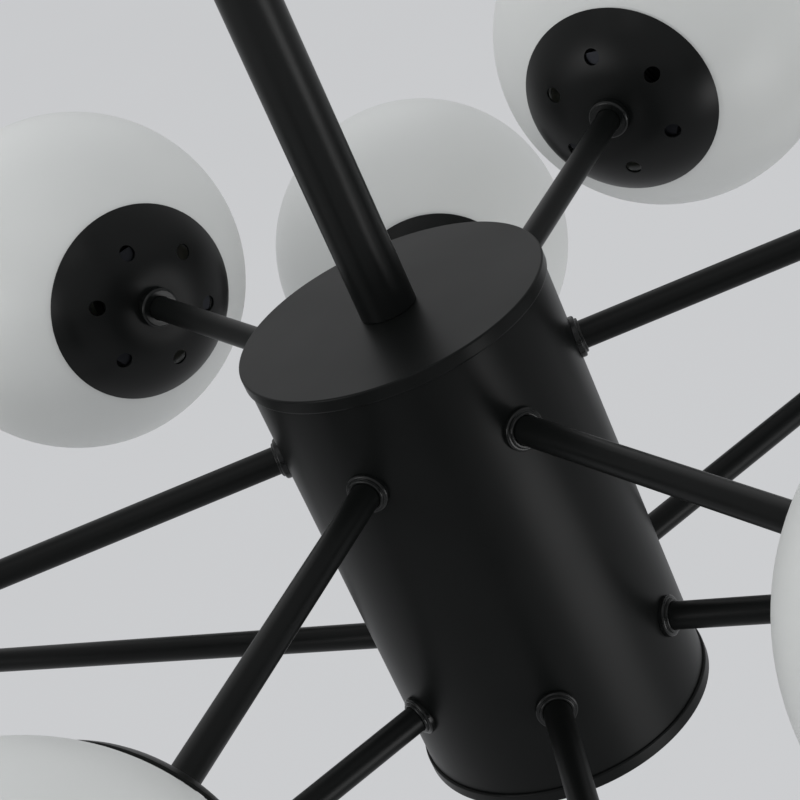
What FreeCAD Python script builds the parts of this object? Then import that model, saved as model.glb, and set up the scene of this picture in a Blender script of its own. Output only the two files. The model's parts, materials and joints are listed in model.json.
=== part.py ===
import FreeCAD, Part
import math
import os
import Sketcher

# Sputnik chandelier: a ceiling canopy with a hang-straight swivel, one stem, a drum-shaped hub and
# twelve opal globes on straight radial arms, in two staggered tiers of six.
# Frame: the origin is on the ceiling plane at the middle of the canopy. +Z is up, so the lamp
# hangs into -Z, and +X points along the first arm of the upper tier. Millimetres.

document = FreeCAD.newDocument("sputnik_chandelier")
sheet = document.addObject("Spreadsheet::Sheet", "Sizes")

DRIVING_SIZES = (
    # ceiling end
    ("canopy_radius", 60.0, "outside radius of the canopy cover"),
    ("canopy_height", 28.0, "ceiling to the canopy's lower face"),
    ("canopy_wall", 1.2, "sheet thickness of the canopy cover"),
    ("canopy_corner", 5.0, "outside radius of the canopy's lower corner"),
    ("ceiling_gap", 0.3, "play between the canopy's rim and the ceiling"),
    ("bracket_width", 22.0, "width of the ceiling bracket"),
    ("bracket_thickness", 2.0, "strip thickness of the ceiling bracket"),
    ("tab_drop", 14.0, "ceiling to the lower end of the bracket's tabs"),
    ("slot_spacing", 70.0, "distance between the middles of the two ceiling slots"),
    ("slot_width", 5.0, "width of a ceiling slot"),
    ("slot_length", 15.0, "end to end length of a ceiling slot"),
    ("side_screw_radius", 2.0, "shank radius of a canopy side screw"),
    ("side_screw_head", 4.0, "head radius of a canopy side screw"),
    ("side_screw_grip", 4.0, "head length of a canopy side screw"),
    ("side_screw_drop", 8.0, "ceiling to the side screws' axis"),
    ("side_screw_inside", 6.0, "length of a side screw inside the canopy cover"),
    ("terminal_length", 24.0, "length of the terminal block"),
    ("terminal_width", 14.0, "width of the terminal block"),
    ("terminal_height", 12.0, "height of the terminal block"),
    ("terminal_offset", 22.0, "middle of the canopy to the terminal block's near end"),
    ("wire_hole", 1.6, "radius of a wire hole in the terminal block"),
    # threaded tube and nuts
    ("thread_radius", 5.0, "radius of the M10 threaded tube"),
    ("thread_bore", 3.5, "bore radius of the M10 threaded tube"),
    ("nut_wall", 2.0, "nut: half the width across flats less the thread radius"),
    ("nut_height", 3.0, "height of a nut"),
    ("nipple_head", 7.0, "radius of the nipple's head"),
    ("nipple_head_height", 3.5, "height of the nipple's head"),
    ("screw_edge", 0.6, "rounding of the heads of the nipple and the side screws"),
    # swivel
    ("fork_rise", 7.0, "how far the fork's head stands up into the canopy"),
    ("fork_head_height", 11.0, "height of the fork's head"),
    ("fork_rim", 1.0, "how far the fork's head stands out past its ears"),
    ("ear_thickness", 2.5, "thickness of each ear of the fork"),
    ("ear_radius", 8.0, "end radius of the fork's ears about the pin"),
    ("lug_thickness", 3.4, "thickness of each lug of the knuckle"),
    ("lug_step", 0.5, "how much smaller a lug's end radius is than an ear's"),
    ("tilt_room", 2.0, "room under the fork's ears for the tilting shoulder"),
    ("wire_room", 5.0, "room for wires between the nipple's head and the knuckle"),
    ("shoulder_thickness", 3.0, "thickness of the knuckle's shoulder"),
    ("spigot_length", 12.0, "length of the knuckle's spigot inside the stem"),
    ("pin_radius", 2.5, "radius of the swivel pin"),
    ("pin_head", 4.5, "radius of the swivel pin's heads"),
    ("pin_head_height", 2.0, "height of the swivel pin's heads"),
    ("pin_edge", 0.5, "rounding of the swivel pin's heads"),
    # stem
    ("stem_radius", 10.0, "outside radius of the stem"),
    ("stem_wall", 1.5, "wall of the stem"),
    ("stem_length", 400.0, "length of the stem tube"),
    ("plug_height", 15.0, "height of the plug in the stem's lower end"),
    # hub
    ("hub_radius", 54.0, "outside radius of the hub tube"),
    ("hub_wall", 1.5, "wall of the hub tube"),
    ("hub_height", 175.0, "height of the hub over both caps"),
    ("cap_plate", 2.0, "plate thickness of the hub's caps"),
    ("cap_step", 1.0, "how far the caps' skirts stand proud of the hub tube"),
    ("cap_skirt", 5.0, "height of the caps' skirts"),
    ("cap_edge", 0.7, "rounding of the caps' outer edge"),
    ("skirt_edge", 0.3, "rounding of the skirts' free edge"),
    ("washer_radius", 12.0, "radius of the washer under the lid"),
    ("washer_thickness", 1.5, "thickness of the washer under the lid"),
    ("finial_radius", 10.0, "radius of the finial under the hub"),
    ("finial_height", 13.0, "height of the finial under the hub"),
    ("finial_round", 6.0, "rounding of the finial's lower end"),
    ("rod_grip", 7.0, "depth of the finial's thread"),
    ("rod_end_gap", 0.5, "tie rod's lower end to the bottom of the finial's thread"),
    ("rod_top_gap", 1.0, "how far the tie rod's upper end stops short of the plug's top"),
    # arms
    ("upper_tier_drop", 37.0, "hub lid's top face to the upper arms' axis"),
    ("lower_tier_drop", 138.0, "hub lid's top face to the lower arms' axis"),
    ("upper_reach", 282.0, "hub axis to an upper globe's centre"),
    ("lower_reach", 370.0, "hub axis to a lower globe's centre"),
    ("arm_radius", 5.0, "outside radius of an arm"),
    ("arm_wall", 1.0, "wall of an arm"),
    ("arm_inside", 10.5, "length of an arm inside the hub"),
    ("arm_grip", 4.0, "length of an arm inside its lampholder"),
    ("collar_radius", 7.4, "radius of a hub collar's flange"),
    ("collar_thickness", 1.8, "thickness of a hub collar's flange"),
    ("bead_radius", 6.2, "radius of the bead on a collar"),
    ("bead_height", 0.9, "how far the bead stands off the collar's flange"),
    ("ferrule_radius", 8.5, "radius of the ferrule behind a dish"),
    ("ferrule_length", 4.0, "length of the ferrule behind a dish"),
    ("ferrule_edge", 1.2, "rounding of the ferrule's edge"),
    # dishes
    ("dish_radius", 42.0, "rim radius of a dish"),
    ("dish_flat", 12.0, "radius of the flat middle of a dish"),
    ("dish_depth", 14.0, "depth of a dish, from its flat middle to its rim"),
    ("dish_wall", 1.0, "sheet thickness of a dish"),
    ("vent_radius", 3.25, "radius of a vent hole"),
    ("vent_circle", 26.0, "radius of the circle that the vent holes lie on"),
    # globes and lamps
    ("globe_radius", 75.0, "outside radius of a globe"),
    ("globe_wall", 2.5, "wall of a globe"),
    ("mouth_radius", 30.0, "radius of a globe's mouth"),
    ("spring_thickness", 0.6, "sheet thickness of a globe spring"),
    ("spring_width", 8.0, "width of a spring's leaves"),
    ("spring_ring", 11.0, "radius of a globe spring's middle ring"),
    ("spring_root", 2.0, "how far a spring's leaf runs into its middle ring"),
    ("spring_tip", 6.0, "how far a spring's leaf reaches past the mouth into the globe"),
    ("spring_bend", 2.8, "how far a leaf's bend on the dish lies inside its crest in the mouth"),
    ("spring_taper", 1.8, "how far a leaf's tip lies inside its crest in the mouth"),
    ("holder_radius", 12.5, "radius of a lampholder"),
    ("holder_foot", 9.0, "radius of a lampholder's foot"),
    ("holder_foot_height", 5.0, "height of a lampholder's foot"),
    ("holder_length", 32.0, "length of a lampholder"),
    ("holder_edge", 1.0, "rounding of a lampholder's rim"),
    ("contact_room", 2.0, "room for the contact spring under a bulb's cap"),
    ("bulb_length", 78.0, "overall length of a bulb"),
    ("bulb_radius", 22.5, "radius of a bulb's glass ball"),
    ("bulb_cap_radius", 7.0, "radius of a bulb's screw cap"),
    ("bulb_cap_inside", 16.0, "length of a bulb's cap inside its lampholder"),
    ("bulb_contact", 3.0, "radius and height of the contact cone under a bulb's cap"),
    ("bulb_neck", 9.0, "radius of a bulb's neck"),
    ("neck_lift", 2.0, "lampholder's mouth to the bulb's neck"),
    # clearances
    ("running_clearance", 0.05, "radial play of shafts, screws and threads in their holes"),
    ("seat_gap", 0.05, "play between pieces that are clamped face to face"),
    ("side_clearance", 0.15, "play beside the knuckle between the fork's ears"),
    ("hole_clearance", 0.7, "play round the fork's head in the canopy's hole"),
    ("head_clearance", 0.5, "play beside the nipple's head between the fork's ears"),
    ("glass_gap", 0.15, "play between glass and what holds it"),
)
LAMPS_PER_TIER = 6
VENTS_PER_DISH = 6
LEAVES_PER_SPRING = 3
WIRES_IN_TERMINAL = 3
FULL_TURN = 360.0
HEXAGON_HALF_CORNER = 30.0
BULB_NECK_ANGLE = 20.0
BEAD_ROUNDED_SHARE = 0.6


class Size:
    """A length worked out from the sheet: its value, and the formula that ties it to the cells."""

    def __init__(self, value, formula):
        self.value = value
        self.formula = formula

    def _join(self, other, sign, value):
        return Size(value, f"({self.formula} {sign} {other.formula})")

    def __add__(self, other):
        other = as_size(other)
        return self._join(other, "+", self.value + other.value)

    def __sub__(self, other):
        other = as_size(other)
        return self._join(other, "-", self.value - other.value)

    def __mul__(self, other):
        other = as_size(other)
        return self._join(other, "*", self.value * other.value)

    def __truediv__(self, other):
        other = as_size(other)
        return self._join(other, "/", self.value / other.value)

    def __neg__(self):
        return Size(-self.value, f"(0 - {self.formula})")

    def __radd__(self, other):
        return as_size(other) + self

    def __rsub__(self, other):
        return as_size(other) - self

    def __rmul__(self, other):
        return as_size(other) * self


def as_size(number):
    return number if isinstance(number, Size) else Size(float(number), repr(float(number)))


def root(size):
    return Size(math.sqrt(size.value), f"sqrt({size.formula})")


def leg(hypotenuse, other_leg):
    """The third side of a right-angled triangle."""
    return root(hypotenuse * hypotenuse - other_leg * other_leg)


def fill_sheet():
    """Writes every driving size into the sheet, and returns them by name."""
    cells = {}
    for row, (name, value, meaning) in enumerate(DRIVING_SIZES, start=1):
        sheet.set(f"A{row}", meaning)
        sheet.set(f"B{row}", str(value))
        sheet.setAlias(f"B{row}", name)
        cells[name] = Size(value, f"Sizes.{name}")
    document.recompute()
    return cells


S = fill_sheet()
SIZE_OF_NONE = Size(0.0, "0.0")
UP = FreeCAD.Vector(0, 0, 1)

# ---------------------------------------------------------------- levels, from the ceiling down

canopy_bottom = -S["canopy_height"]
fork_top = canopy_bottom + S["fork_rise"]
fork_bridge = fork_top - S["fork_head_height"]
nipple_end = fork_bridge - S["seat_gap"] - S["nipple_head_height"]
lug_radius = S["ear_radius"] - S["lug_step"]
pin_level = nipple_end - S["wire_room"] - lug_radius
shoulder_top = pin_level - S["ear_radius"] - S["tilt_room"]
stem_top = shoulder_top - S["shoulder_thickness"]
hub_top = stem_top - S["stem_length"]
upper_level = hub_top - S["upper_tier_drop"]
lower_level = hub_top - S["lower_tier_drop"]
hub_bottom = hub_top - S["hub_height"]

# ---------------------------------------------------------------- radii that follow from fits

ear_inner = S["nipple_head"] + S["head_clearance"]
ear_outer = ear_inner + S["ear_thickness"]
fork_radius = ear_outer + S["fork_rim"]
stem_bore = S["stem_radius"] - S["stem_wall"]
in_stem = stem_bore - S["running_clearance"]
thread_hole = S["thread_radius"] + S["running_clearance"]
arm_hole = S["arm_radius"] + S["running_clearance"]
hub_bore = S["hub_radius"] - S["hub_wall"]
canopy_bore = S["canopy_radius"] - S["canopy_wall"]

# ---------------------------------------------------------------- a dish, from its flat face outwards

dish_arc = ((S["dish_radius"] - S["dish_flat"]) * (S["dish_radius"] - S["dish_flat"])
            + S["dish_depth"] * S["dish_depth"]) / (2.0 * S["dish_depth"])
inner_arc = dish_arc - S["dish_wall"]
rim_inner_radius = S["dish_flat"] + inner_arc * (S["dish_radius"] - S["dish_flat"]) / dish_arc
rim_inner_depth = dish_arc - inner_arc * (dish_arc - S["dish_depth"]) / dish_arc
globe_offset = rim_inner_depth + leg(S["globe_radius"] + S["glass_gap"], rim_inner_radius)
globe_bore = S["globe_radius"] - S["globe_wall"]
mouth_outer = globe_offset - leg(S["globe_radius"], S["mouth_radius"])
mouth_inner = globe_offset - leg(globe_bore, S["mouth_radius"])
spring_face = S["dish_wall"] + S["seat_gap"]
nut_face = spring_face + S["spring_thickness"] + S["seat_gap"]
holder_face = nut_face + S["nut_height"] + S["seat_gap"]
arm_seat = holder_face + S["arm_grip"]
holder_mouth = holder_face + S["holder_length"]

# ---------------------------------------------------------------- drawing helpers


def bind(item, prop, size):
    """Sets a property, and ties it to the sheet."""
    size = as_size(size)
    item.setExpression(prop, size.formula)


def move(item, x=SIZE_OF_NONE, y=SIZE_OF_NONE, z=SIZE_OF_NONE, turn=None):
    """Places an item, with its place tied to the sheet."""
    x, y, z = as_size(x), as_size(y), as_size(z)
    place = FreeCAD.Vector(x.value, y.value, z.value)
    item.Placement = FreeCAD.Placement(place, turn or FreeCAD.Rotation())
    for axis, size in (("x", x), ("y", y), ("z", z)):
        bind(item, f"Placement.Base.{axis}", size)
    return item


def radial_turn(azimuth):
    """Turns local Z to point outwards at this azimuth, with local X upwards."""
    angle = math.radians(azimuth)
    out = FreeCAD.Vector(math.cos(angle), math.sin(angle), 0)
    return FreeCAD.Rotation(UP, out.cross(UP), out, "ZXY")


def move_out(item, azimuth, reach, level):
    """Places an item on a radial line: local Z runs outwards from this reach."""
    angle = math.radians(azimuth)
    x = reach * round(math.cos(angle), 12)
    y = reach * round(math.sin(angle), 12)
    return move(item, x, y, level, radial_turn(azimuth))


X_AXIS_TURN = FreeCAD.Rotation(FreeCAD.Vector(0, 1, 0), 90)


def rod(name, radius, length):
    item = document.addObject("Part::Cylinder", name)
    bind(item, "Radius", radius)
    bind(item, "Height", length)
    return item


def block(name, length, width, height):
    item = document.addObject("Part::Box", name)
    bind(item, "Length", length)
    bind(item, "Width", width)
    bind(item, "Height", height)
    return item


hexagon_ratio = math.cos(math.radians(HEXAGON_HALF_CORNER))


def hexagon(name, across_half, height):
    """A hexagonal bar: its half width across flats is given."""
    item = document.addObject("Part::Prism", name)
    item.Polygon = 6
    bind(item, "Circumradius", as_size(across_half) / hexagon_ratio)
    bind(item, "Height", height)
    return item


def cut(name, base, tool):
    item = document.addObject("Part::Cut", name)
    item.Base = base
    item.Tool = tool
    return item


def fuse(name, shapes):
    item = document.addObject("Part::MultiFuse", name)
    item.Shapes = shapes
    return item


def common(name, shapes):
    item = document.addObject("Part::MultiCommon", name)
    item.Shapes = shapes
    return item


def group(name, items):
    """Separate solids that share one node."""
    item = document.addObject("Part::Compound", name)
    item.Links = items
    return item


def body_plane(body, role):
    return [item for item in body.Origin.OriginFeatures if item.Role == role][0]


def new_sketch(body, name, role):
    sketch = body.newObject("Sketcher::SketchObject", name)
    sketch.AttachmentSupport = (body_plane(body, role), [""])
    sketch.MapMode = "FlatFace"
    return sketch


def arc_between(start, end, radius):
    """The arc of under a half circle from start to end: it turns left if the radius is positive."""
    chord = end - start
    half = chord.Length / 2
    size = max(abs(radius), half * 1.000001)
    rise = math.sqrt(size * size - half * half)
    side = FreeCAD.Vector(-chord.y, chord.x, 0).normalize()
    centre = start + chord * 0.5 + side * math.copysign(rise, radius)
    ends = (start, end) if radius > 0 else (end, start)
    angles = [math.atan2(point.y - centre.y, point.x - centre.x) for point in ends]
    if angles[1] < angles[0]:
        angles[1] += 2 * math.pi
    circle = Part.Circle(centre, UP, size)
    return Part.ArcOfCircle(circle, angles[0], angles[1])


def constrain(sketch, name, size, *where):
    index = sketch.addConstraint(Sketcher.Constraint(*where, size.value))
    sketch.renameConstraint(index, name)
    sketch.setExpression(f"Constraints.{name}", size.formula)


def outline(sketch, corners):
    """Draws a closed outline in a sketch. A corner is (x, y), reached by a straight, or
    (x, y, radius), reached by an arc that turns left if the radius is positive."""
    corners = [tuple(as_size(number) for number in corner) for corner in corners]
    points = [FreeCAD.Vector(corner[0].value, corner[1].value, 0) for corner in corners]
    arrive = []
    leave = []
    for index, corner in enumerate(corners):
        start, end = points[index - 1], points[index]
        if len(corner) == 2:
            sketch.addGeometry(Part.LineSegment(start, end), False)
            arrive.append(2)
            leave.append(1)
            continue
        radius = corner[2]
        sketch.addGeometry(arc_between(start, end, radius.value), False)
        arrive.append(2 if radius.value > 0 else 1)
        leave.append(1 if radius.value > 0 else 2)
        size = radius if radius.value > 0 else -radius
        constrain(sketch, f"radius_{index}", size, "Radius", index)
    count = len(corners)
    for index in range(count):
        following = (index + 1) % count
        sketch.addConstraint(Sketcher.Constraint(
            "Coincident", index, arrive[index], following, leave[following]))
    for index, corner in enumerate(corners):
        for axis, size, line in (("X", corner[0], -2), ("Y", corner[1], -1)):
            where = (index, arrive[index])
            if size.formula == SIZE_OF_NONE.formula:
                sketch.addConstraint(Sketcher.Constraint("PointOnObject", *where, line))
            else:
                constrain(sketch, f"{axis.lower()}_{index}", size, f"Distance{axis}", -1, 1, *where)


def circle(sketch, x, y, radius, name="hole"):
    x, y, radius = as_size(x), as_size(y), as_size(radius)
    place = FreeCAD.Vector(x.value, y.value, 0)
    index = sketch.addGeometry(Part.Circle(place, UP, radius.value), False)
    constrain(sketch, f"{name}_radius", radius, "Radius", index)
    for axis, size, line in (("X", x, -2), ("Y", y, -1)):
        if size.formula == SIZE_OF_NONE.formula:
            sketch.addConstraint(Sketcher.Constraint("PointOnObject", index, 3, line))
        else:
            constrain(sketch, f"{name}_{axis.lower()}", size, f"Distance{axis}", -1, 1, index, 3)


def turned(name, corners):
    """A turned piece: the outline, x outwards and y along the axis, is spun about local Z."""
    body = document.addObject("PartDesign::Body", name)
    sketch = new_sketch(body, f"{name}_outline", "XZ_Plane")
    outline(sketch, corners)
    spin = body.newObject("PartDesign::Revolution", f"{name}_spin")
    spin.Profile = sketch
    spin.ReferenceAxis = (sketch, ["V_Axis"])
    spin.Angle = FULL_TURN
    body.Tip = spin
    return body


def ring(name, inner, outer, height):
    """A plain ring or washer, standing on local Z = 0."""
    inner, outer, height = as_size(inner), as_size(outer), as_size(height)
    return turned(name, [(inner, 0), (outer, 0), (outer, height), (inner, height)])


# ---------------------------------------------------------------- ceiling bracket and canopy


def make_bracket():
    """A strip that lies on the ceiling, with its ends bent down to take the side screws."""
    width = S["bracket_width"]
    half = leg(canopy_bore, width / 2.0) - S["glass_gap"]
    strip = move(block("bracket_strip", 2.0 * half, width, S["bracket_thickness"]),
                 -half, -(width / 2.0), -S["bracket_thickness"])
    tabs = []
    for side in (-1, 1):
        edge = -half if side < 0 else half - S["bracket_thickness"]
        tab = block(f"bracket_tab_{side + 2}", S["bracket_thickness"], width, S["tab_drop"])
        tabs.append(move(tab, edge, -(width / 2.0), -S["tab_drop"]))
    tools = [move(rod("bracket_centre_hole", thread_hole, 2.0 * S["bracket_thickness"]),
                  z=-(1.5 * S["bracket_thickness"]))]
    half_slot = (S["slot_length"] - S["slot_width"]) / 2.0
    depth = 2.0 * S["bracket_thickness"]
    for side in (-1, 1):
        middle = side * S["slot_spacing"] / 2.0
        slot = block(f"slot_{side + 2}", 2.0 * half_slot, S["slot_width"], depth)
        tools.append(move(slot, middle - half_slot, -(S["slot_width"] / 2.0), -(0.75 * depth)))
        for end in (-1, 1):
            cap = rod(f"slot_{side + 2}_end_{end + 2}", S["slot_width"] / 2.0, depth)
            tools.append(move(cap, middle + end * half_slot, z=-(0.75 * depth)))
    tap = rod("bracket_tap_tool", S["side_screw_radius"] + S["running_clearance"], 4.0 * half)
    tools.append(move(tap, -(2.0 * half), z=-S["side_screw_drop"], turn=X_AXIS_TURN))
    whole = fuse("bracket_bent_strip", [strip] + tabs)
    return cut("ceiling_bracket", whole, fuse("bracket_tools", tools))


def make_canopy():
    """A shallow spun cup, open to the ceiling, with a hole for the swivel's head."""
    hole = fork_radius + S["hole_clearance"]
    inner_corner = S["canopy_corner"] - S["canopy_wall"]
    height = S["canopy_height"] - S["ceiling_gap"]
    shell = turned("canopy_shell", [
        (hole, 0),
        (S["canopy_radius"] - S["canopy_corner"], 0),
        (S["canopy_radius"], S["canopy_corner"], S["canopy_corner"]),
        (S["canopy_radius"], height),
        (canopy_bore, height),
        (canopy_bore, S["canopy_corner"]),
        (canopy_bore - inner_corner, S["canopy_wall"], -inner_corner),
        (hole, S["canopy_wall"]),
    ])
    move(shell, z=canopy_bottom)
    screw_hole = S["side_screw_radius"] + 2.0 * S["running_clearance"]
    drill = rod("canopy_drill", screw_hole, 3.0 * S["canopy_radius"])
    move(drill, -(1.5 * S["canopy_radius"]), z=-S["side_screw_drop"], turn=X_AXIS_TURN)
    return cut("canopy_cover", shell, drill)


def make_side_screws():
    """Two hand screws that hold the canopy cover to the bracket's tabs."""
    screws = []
    edge = S["screw_edge"]
    for number, azimuth in enumerate((0.0, 180.0), start=1):
        start = canopy_bore - S["side_screw_inside"]
        flank = S["canopy_radius"] + S["seat_gap"] - start
        end = flank + S["side_screw_grip"]
        screw = turned(f"side_screw_{number}", [
            (0, 0),
            (S["side_screw_radius"], 0),
            (S["side_screw_radius"], flank),
            (S["side_screw_head"], flank),
            (S["side_screw_head"], end - edge),
            (S["side_screw_head"] - edge, end, edge),
            (0, end),
        ])
        screws.append(move_out(screw, azimuth, start, -S["side_screw_drop"]))
    return group("canopy_screws", screws)


def make_nipple():
    """A hollow bolt: the fork hangs on its head, and the wires come down its bore."""
    shank = fork_bridge - S["seat_gap"] - nipple_end
    length = -nipple_end - S["ceiling_gap"]
    edge = S["screw_edge"]
    nipple = turned("canopy_nipple", [
        (S["thread_bore"], 0),
        (S["nipple_head"] - edge, 0),
        (S["nipple_head"], edge, edge),
        (S["nipple_head"], shank),
        (S["thread_radius"], shank),
        (S["thread_radius"], length),
        (S["thread_bore"], length),
    ])
    return move(nipple, z=nipple_end)


def make_nut(name, seat_radius):
    """A hexagonal nut on local Z, from local Z = 0 up, sized to the thread that it sits on."""
    prism = hexagon(f"{name}_blank", seat_radius + S["nut_wall"], S["nut_height"])
    hole = move(rod(f"{name}_hole", seat_radius + S["running_clearance"], 3.0 * S["nut_height"]),
                z=-S["nut_height"])
    return cut(name, prism, hole)


def make_nipple_nuts():
    """One nut locks the nipple under the bracket, the other one sits above the fork."""
    upper = move(make_nut("bracket_nut", S["thread_radius"]),
                 z=-S["bracket_thickness"] - S["seat_gap"] - S["nut_height"])
    lower = move(make_nut("fork_nut", S["thread_radius"]), z=fork_top + S["seat_gap"])
    return group("nipple_nuts", [upper, lower])


def make_terminal_block():
    """The terminal block hangs under the bracket, with three wire holes right through it."""
    top = -S["bracket_thickness"] - S["seat_gap"]
    body = move(block("terminal_body", S["terminal_length"], S["terminal_width"],
                      S["terminal_height"]),
                S["terminal_offset"], -(S["terminal_width"] / 2.0), top - S["terminal_height"])
    holes = []
    pitch = S["terminal_length"] / WIRES_IN_TERMINAL
    for way in range(WIRES_IN_TERMINAL):
        hole = rod(f"wire_hole_{way + 1}", S["wire_hole"], 2.0 * S["terminal_width"])
        along = S["terminal_offset"] + pitch * (way + 0.5)
        turn = FreeCAD.Rotation(FreeCAD.Vector(1, 0, 0), -90)
        holes.append(move(hole, along, -S["terminal_width"], top - S["terminal_height"] / 2.0, turn))
    return cut("terminal_block", body, fuse("terminal_holes", holes))


# ---------------------------------------------------------------- hang-straight swivel


def cross_rod(name, radius, half_length, level):
    """A bar along X through the swivel's axis."""
    item = rod(name, radius, 2.0 * half_length)
    return move(item, -half_length, z=level, turn=X_AXIS_TURN)


def make_fork():
    """A round head that turns on the nipple, and two ears that carry the pin."""
    head = move(rod("fork_head", fork_radius, S["fork_head_height"]), z=fork_bridge)
    ear_height = fork_bridge - pin_level
    ears = move(block("fork_ear_block", 2.0 * ear_outer, 2.0 * S["ear_radius"], ear_height),
                -ear_outer, -S["ear_radius"], pin_level)
    ends = cross_rod("fork_ear_ends", S["ear_radius"], ear_outer, pin_level)
    sleeve = move(rod("fork_ear_sleeve", fork_radius, ear_height + 2.0 * S["ear_radius"]),
                  z=pin_level - 2.0 * S["ear_radius"])
    ears_only = common("fork_ears", [fuse("fork_ear_blank", [ears, ends]), sleeve])
    slot = move(block("fork_slot", 2.0 * ear_inner, 4.0 * fork_radius,
                      ear_height + 2.0 * S["ear_radius"]),
                -ear_inner, -(2.0 * fork_radius), pin_level - 2.0 * S["ear_radius"])
    bore = move(rod("fork_bore", thread_hole, 2.0 * S["fork_head_height"]),
                z=fork_bridge - S["fork_head_height"] / 2.0)
    pin_hole = cross_rod("fork_pin_hole", S["pin_radius"] + S["running_clearance"],
                         2.0 * ear_outer, pin_level)
    tools = fuse("fork_tools", [slot, bore, pin_hole])
    return cut("swivel_fork", fuse("fork_blank", [head, ears_only]), tools)


def make_pin():
    """A pin with a head at each end, through both ears."""
    grip = ear_outer + S["seat_gap"]
    end = S["pin_head_height"]
    edge = S["pin_edge"]
    total = 2.0 * (grip + end)
    pin = turned("swivel_pin", [
        (0, 0),
        (S["pin_head"] - edge, 0),
        (S["pin_head"], edge, edge),
        (S["pin_head"], end),
        (S["pin_radius"], end),
        (S["pin_radius"], total - end),
        (S["pin_head"], total - end),
        (S["pin_head"], total - edge),
        (S["pin_head"] - edge, total, edge),
        (0, total),
    ])
    return move_out(pin, 0.0, -(grip + end), pin_level)


def make_knuckle():
    """Two lugs on the pin, a shoulder that the stem meets and a spigot inside the stem."""
    outer = ear_inner - S["side_clearance"]
    lug_height = pin_level - shoulder_top
    lugs = move(block("knuckle_lug_block", 2.0 * outer, 2.0 * lug_radius, lug_height),
                -outer, -lug_radius, shoulder_top)
    ends = cross_rod("knuckle_lug_ends", lug_radius, outer, pin_level)
    gap = outer - S["lug_thickness"]
    slot = move(block("knuckle_slot", 2.0 * gap, 4.0 * lug_radius, lug_height + 2.0 * lug_radius),
                -gap, -(2.0 * lug_radius), shoulder_top)
    upper = cut("knuckle_lugs", fuse("knuckle_lug_blank", [lugs, ends]), slot)
    shoulder = move(rod("knuckle_shoulder", S["stem_radius"], S["shoulder_thickness"]), z=stem_top)
    spigot = move(rod("knuckle_spigot", in_stem, S["spigot_length"] + S["shoulder_thickness"]),
                  z=stem_top - S["spigot_length"])
    way = move(rod("knuckle_wire_way", gap, 2.0 * S["spigot_length"] + lug_height),
               z=stem_top - 1.5 * S["spigot_length"])
    pin_hole = cross_rod("knuckle_pin_hole", S["pin_radius"] + S["running_clearance"],
                         2.0 * outer, pin_level)
    blank = fuse("knuckle_blank", [upper, shoulder, spigot])
    return cut("swivel_knuckle", blank, fuse("knuckle_tools", [way, pin_hole]))


# ---------------------------------------------------------------- stem and hub


def make_stem():
    stem = ring("stem_tube", stem_bore, S["stem_radius"], S["stem_length"] - 2.0 * S["seat_gap"])
    return move(stem, z=hub_top + S["seat_gap"])


def make_plug():
    plug = ring("stem_plug", thread_hole, in_stem, S["plug_height"])
    return move(plug, z=hub_top + S["seat_gap"])


def make_tie_rod():
    """A hollow threaded rod that clamps both hub caps and the stem together."""
    top = hub_top + S["plug_height"] - S["rod_top_gap"]
    bottom = hub_bottom - S["rod_grip"] + S["rod_end_gap"]
    tie = ring("tie_rod", S["thread_bore"], S["thread_radius"], top - bottom)
    return move(tie, z=bottom)


def cap_outline(hole):
    """A flat cap with a short skirt, seen from outside: local Z runs into the hub."""
    radius = S["hub_radius"] + S["cap_step"]
    inner = S["hub_radius"] + S["running_clearance"]
    free_edge = S["skirt_edge"]
    return [
        (hole, 0),
        (radius - S["cap_edge"], 0),
        (radius, S["cap_edge"], S["cap_edge"]),
        (radius, S["cap_skirt"] - free_edge),
        (radius - free_edge, S["cap_skirt"], free_edge),
        (inner, S["cap_skirt"]),
        (inner, S["cap_plate"]),
        (hole, S["cap_plate"]),
    ]


def make_caps():
    """The lid at the hub's top, and the same cap at its bottom."""
    lid = turned("hub_lid", cap_outline(thread_hole))
    move(lid, z=hub_top, turn=FreeCAD.Rotation(FreeCAD.Vector(1, 0, 0), 180))
    base = turned("hub_base", cap_outline(thread_hole))
    move(base, z=hub_bottom)
    return [lid, base]


def make_hub_tube():
    """The drum between the caps, drilled for every arm."""
    bottom = hub_bottom + S["cap_plate"] + S["seat_gap"]
    height = hub_top - S["cap_plate"] - S["seat_gap"] - bottom
    tube = move(ring("hub_drum", hub_bore, S["hub_radius"], height), z=bottom)
    drills = []
    for name, azimuth, _, level in lamps():
        drill = rod(f"drill_{name}", arm_hole, S["hub_wall"] * 4.0)
        drills.append(move_out(drill, azimuth, hub_bore - S["hub_wall"] * 1.5, level))
    return cut("hub_tube", tube, fuse("hub_drills", drills))


def make_rod_nuts():
    """A washer and a nut clamp the lid to the stem from inside the hub."""
    washer_top = hub_top - S["cap_plate"] - S["seat_gap"]
    washer = ring("lid_washer", thread_hole, S["washer_radius"], S["washer_thickness"])
    move(washer, z=washer_top - S["washer_thickness"])
    nut_top = washer_top - S["washer_thickness"] - S["seat_gap"]
    nut = move(make_nut("lid_nut", S["thread_radius"]), z=nut_top - S["nut_height"])
    return [washer, nut]


def make_finial():
    """A round finial nut, blind, that clamps the hub's base from below."""
    radius, height = S["finial_radius"], S["finial_height"]
    round_end = S["finial_round"]
    finial = turned("base_finial", [
        (thread_hole, 0),
        (radius, 0),
        (radius, height - round_end),
        (radius - round_end, height, round_end),
        (0, height),
        (0, S["rod_grip"]),
        (thread_hole, S["rod_grip"]),
    ])
    turn = FreeCAD.Rotation(FreeCAD.Vector(1, 0, 0), 180)
    return move(finial, z=hub_bottom - S["seat_gap"], turn=turn)


# ---------------------------------------------------------------- arms and lamps


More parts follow.
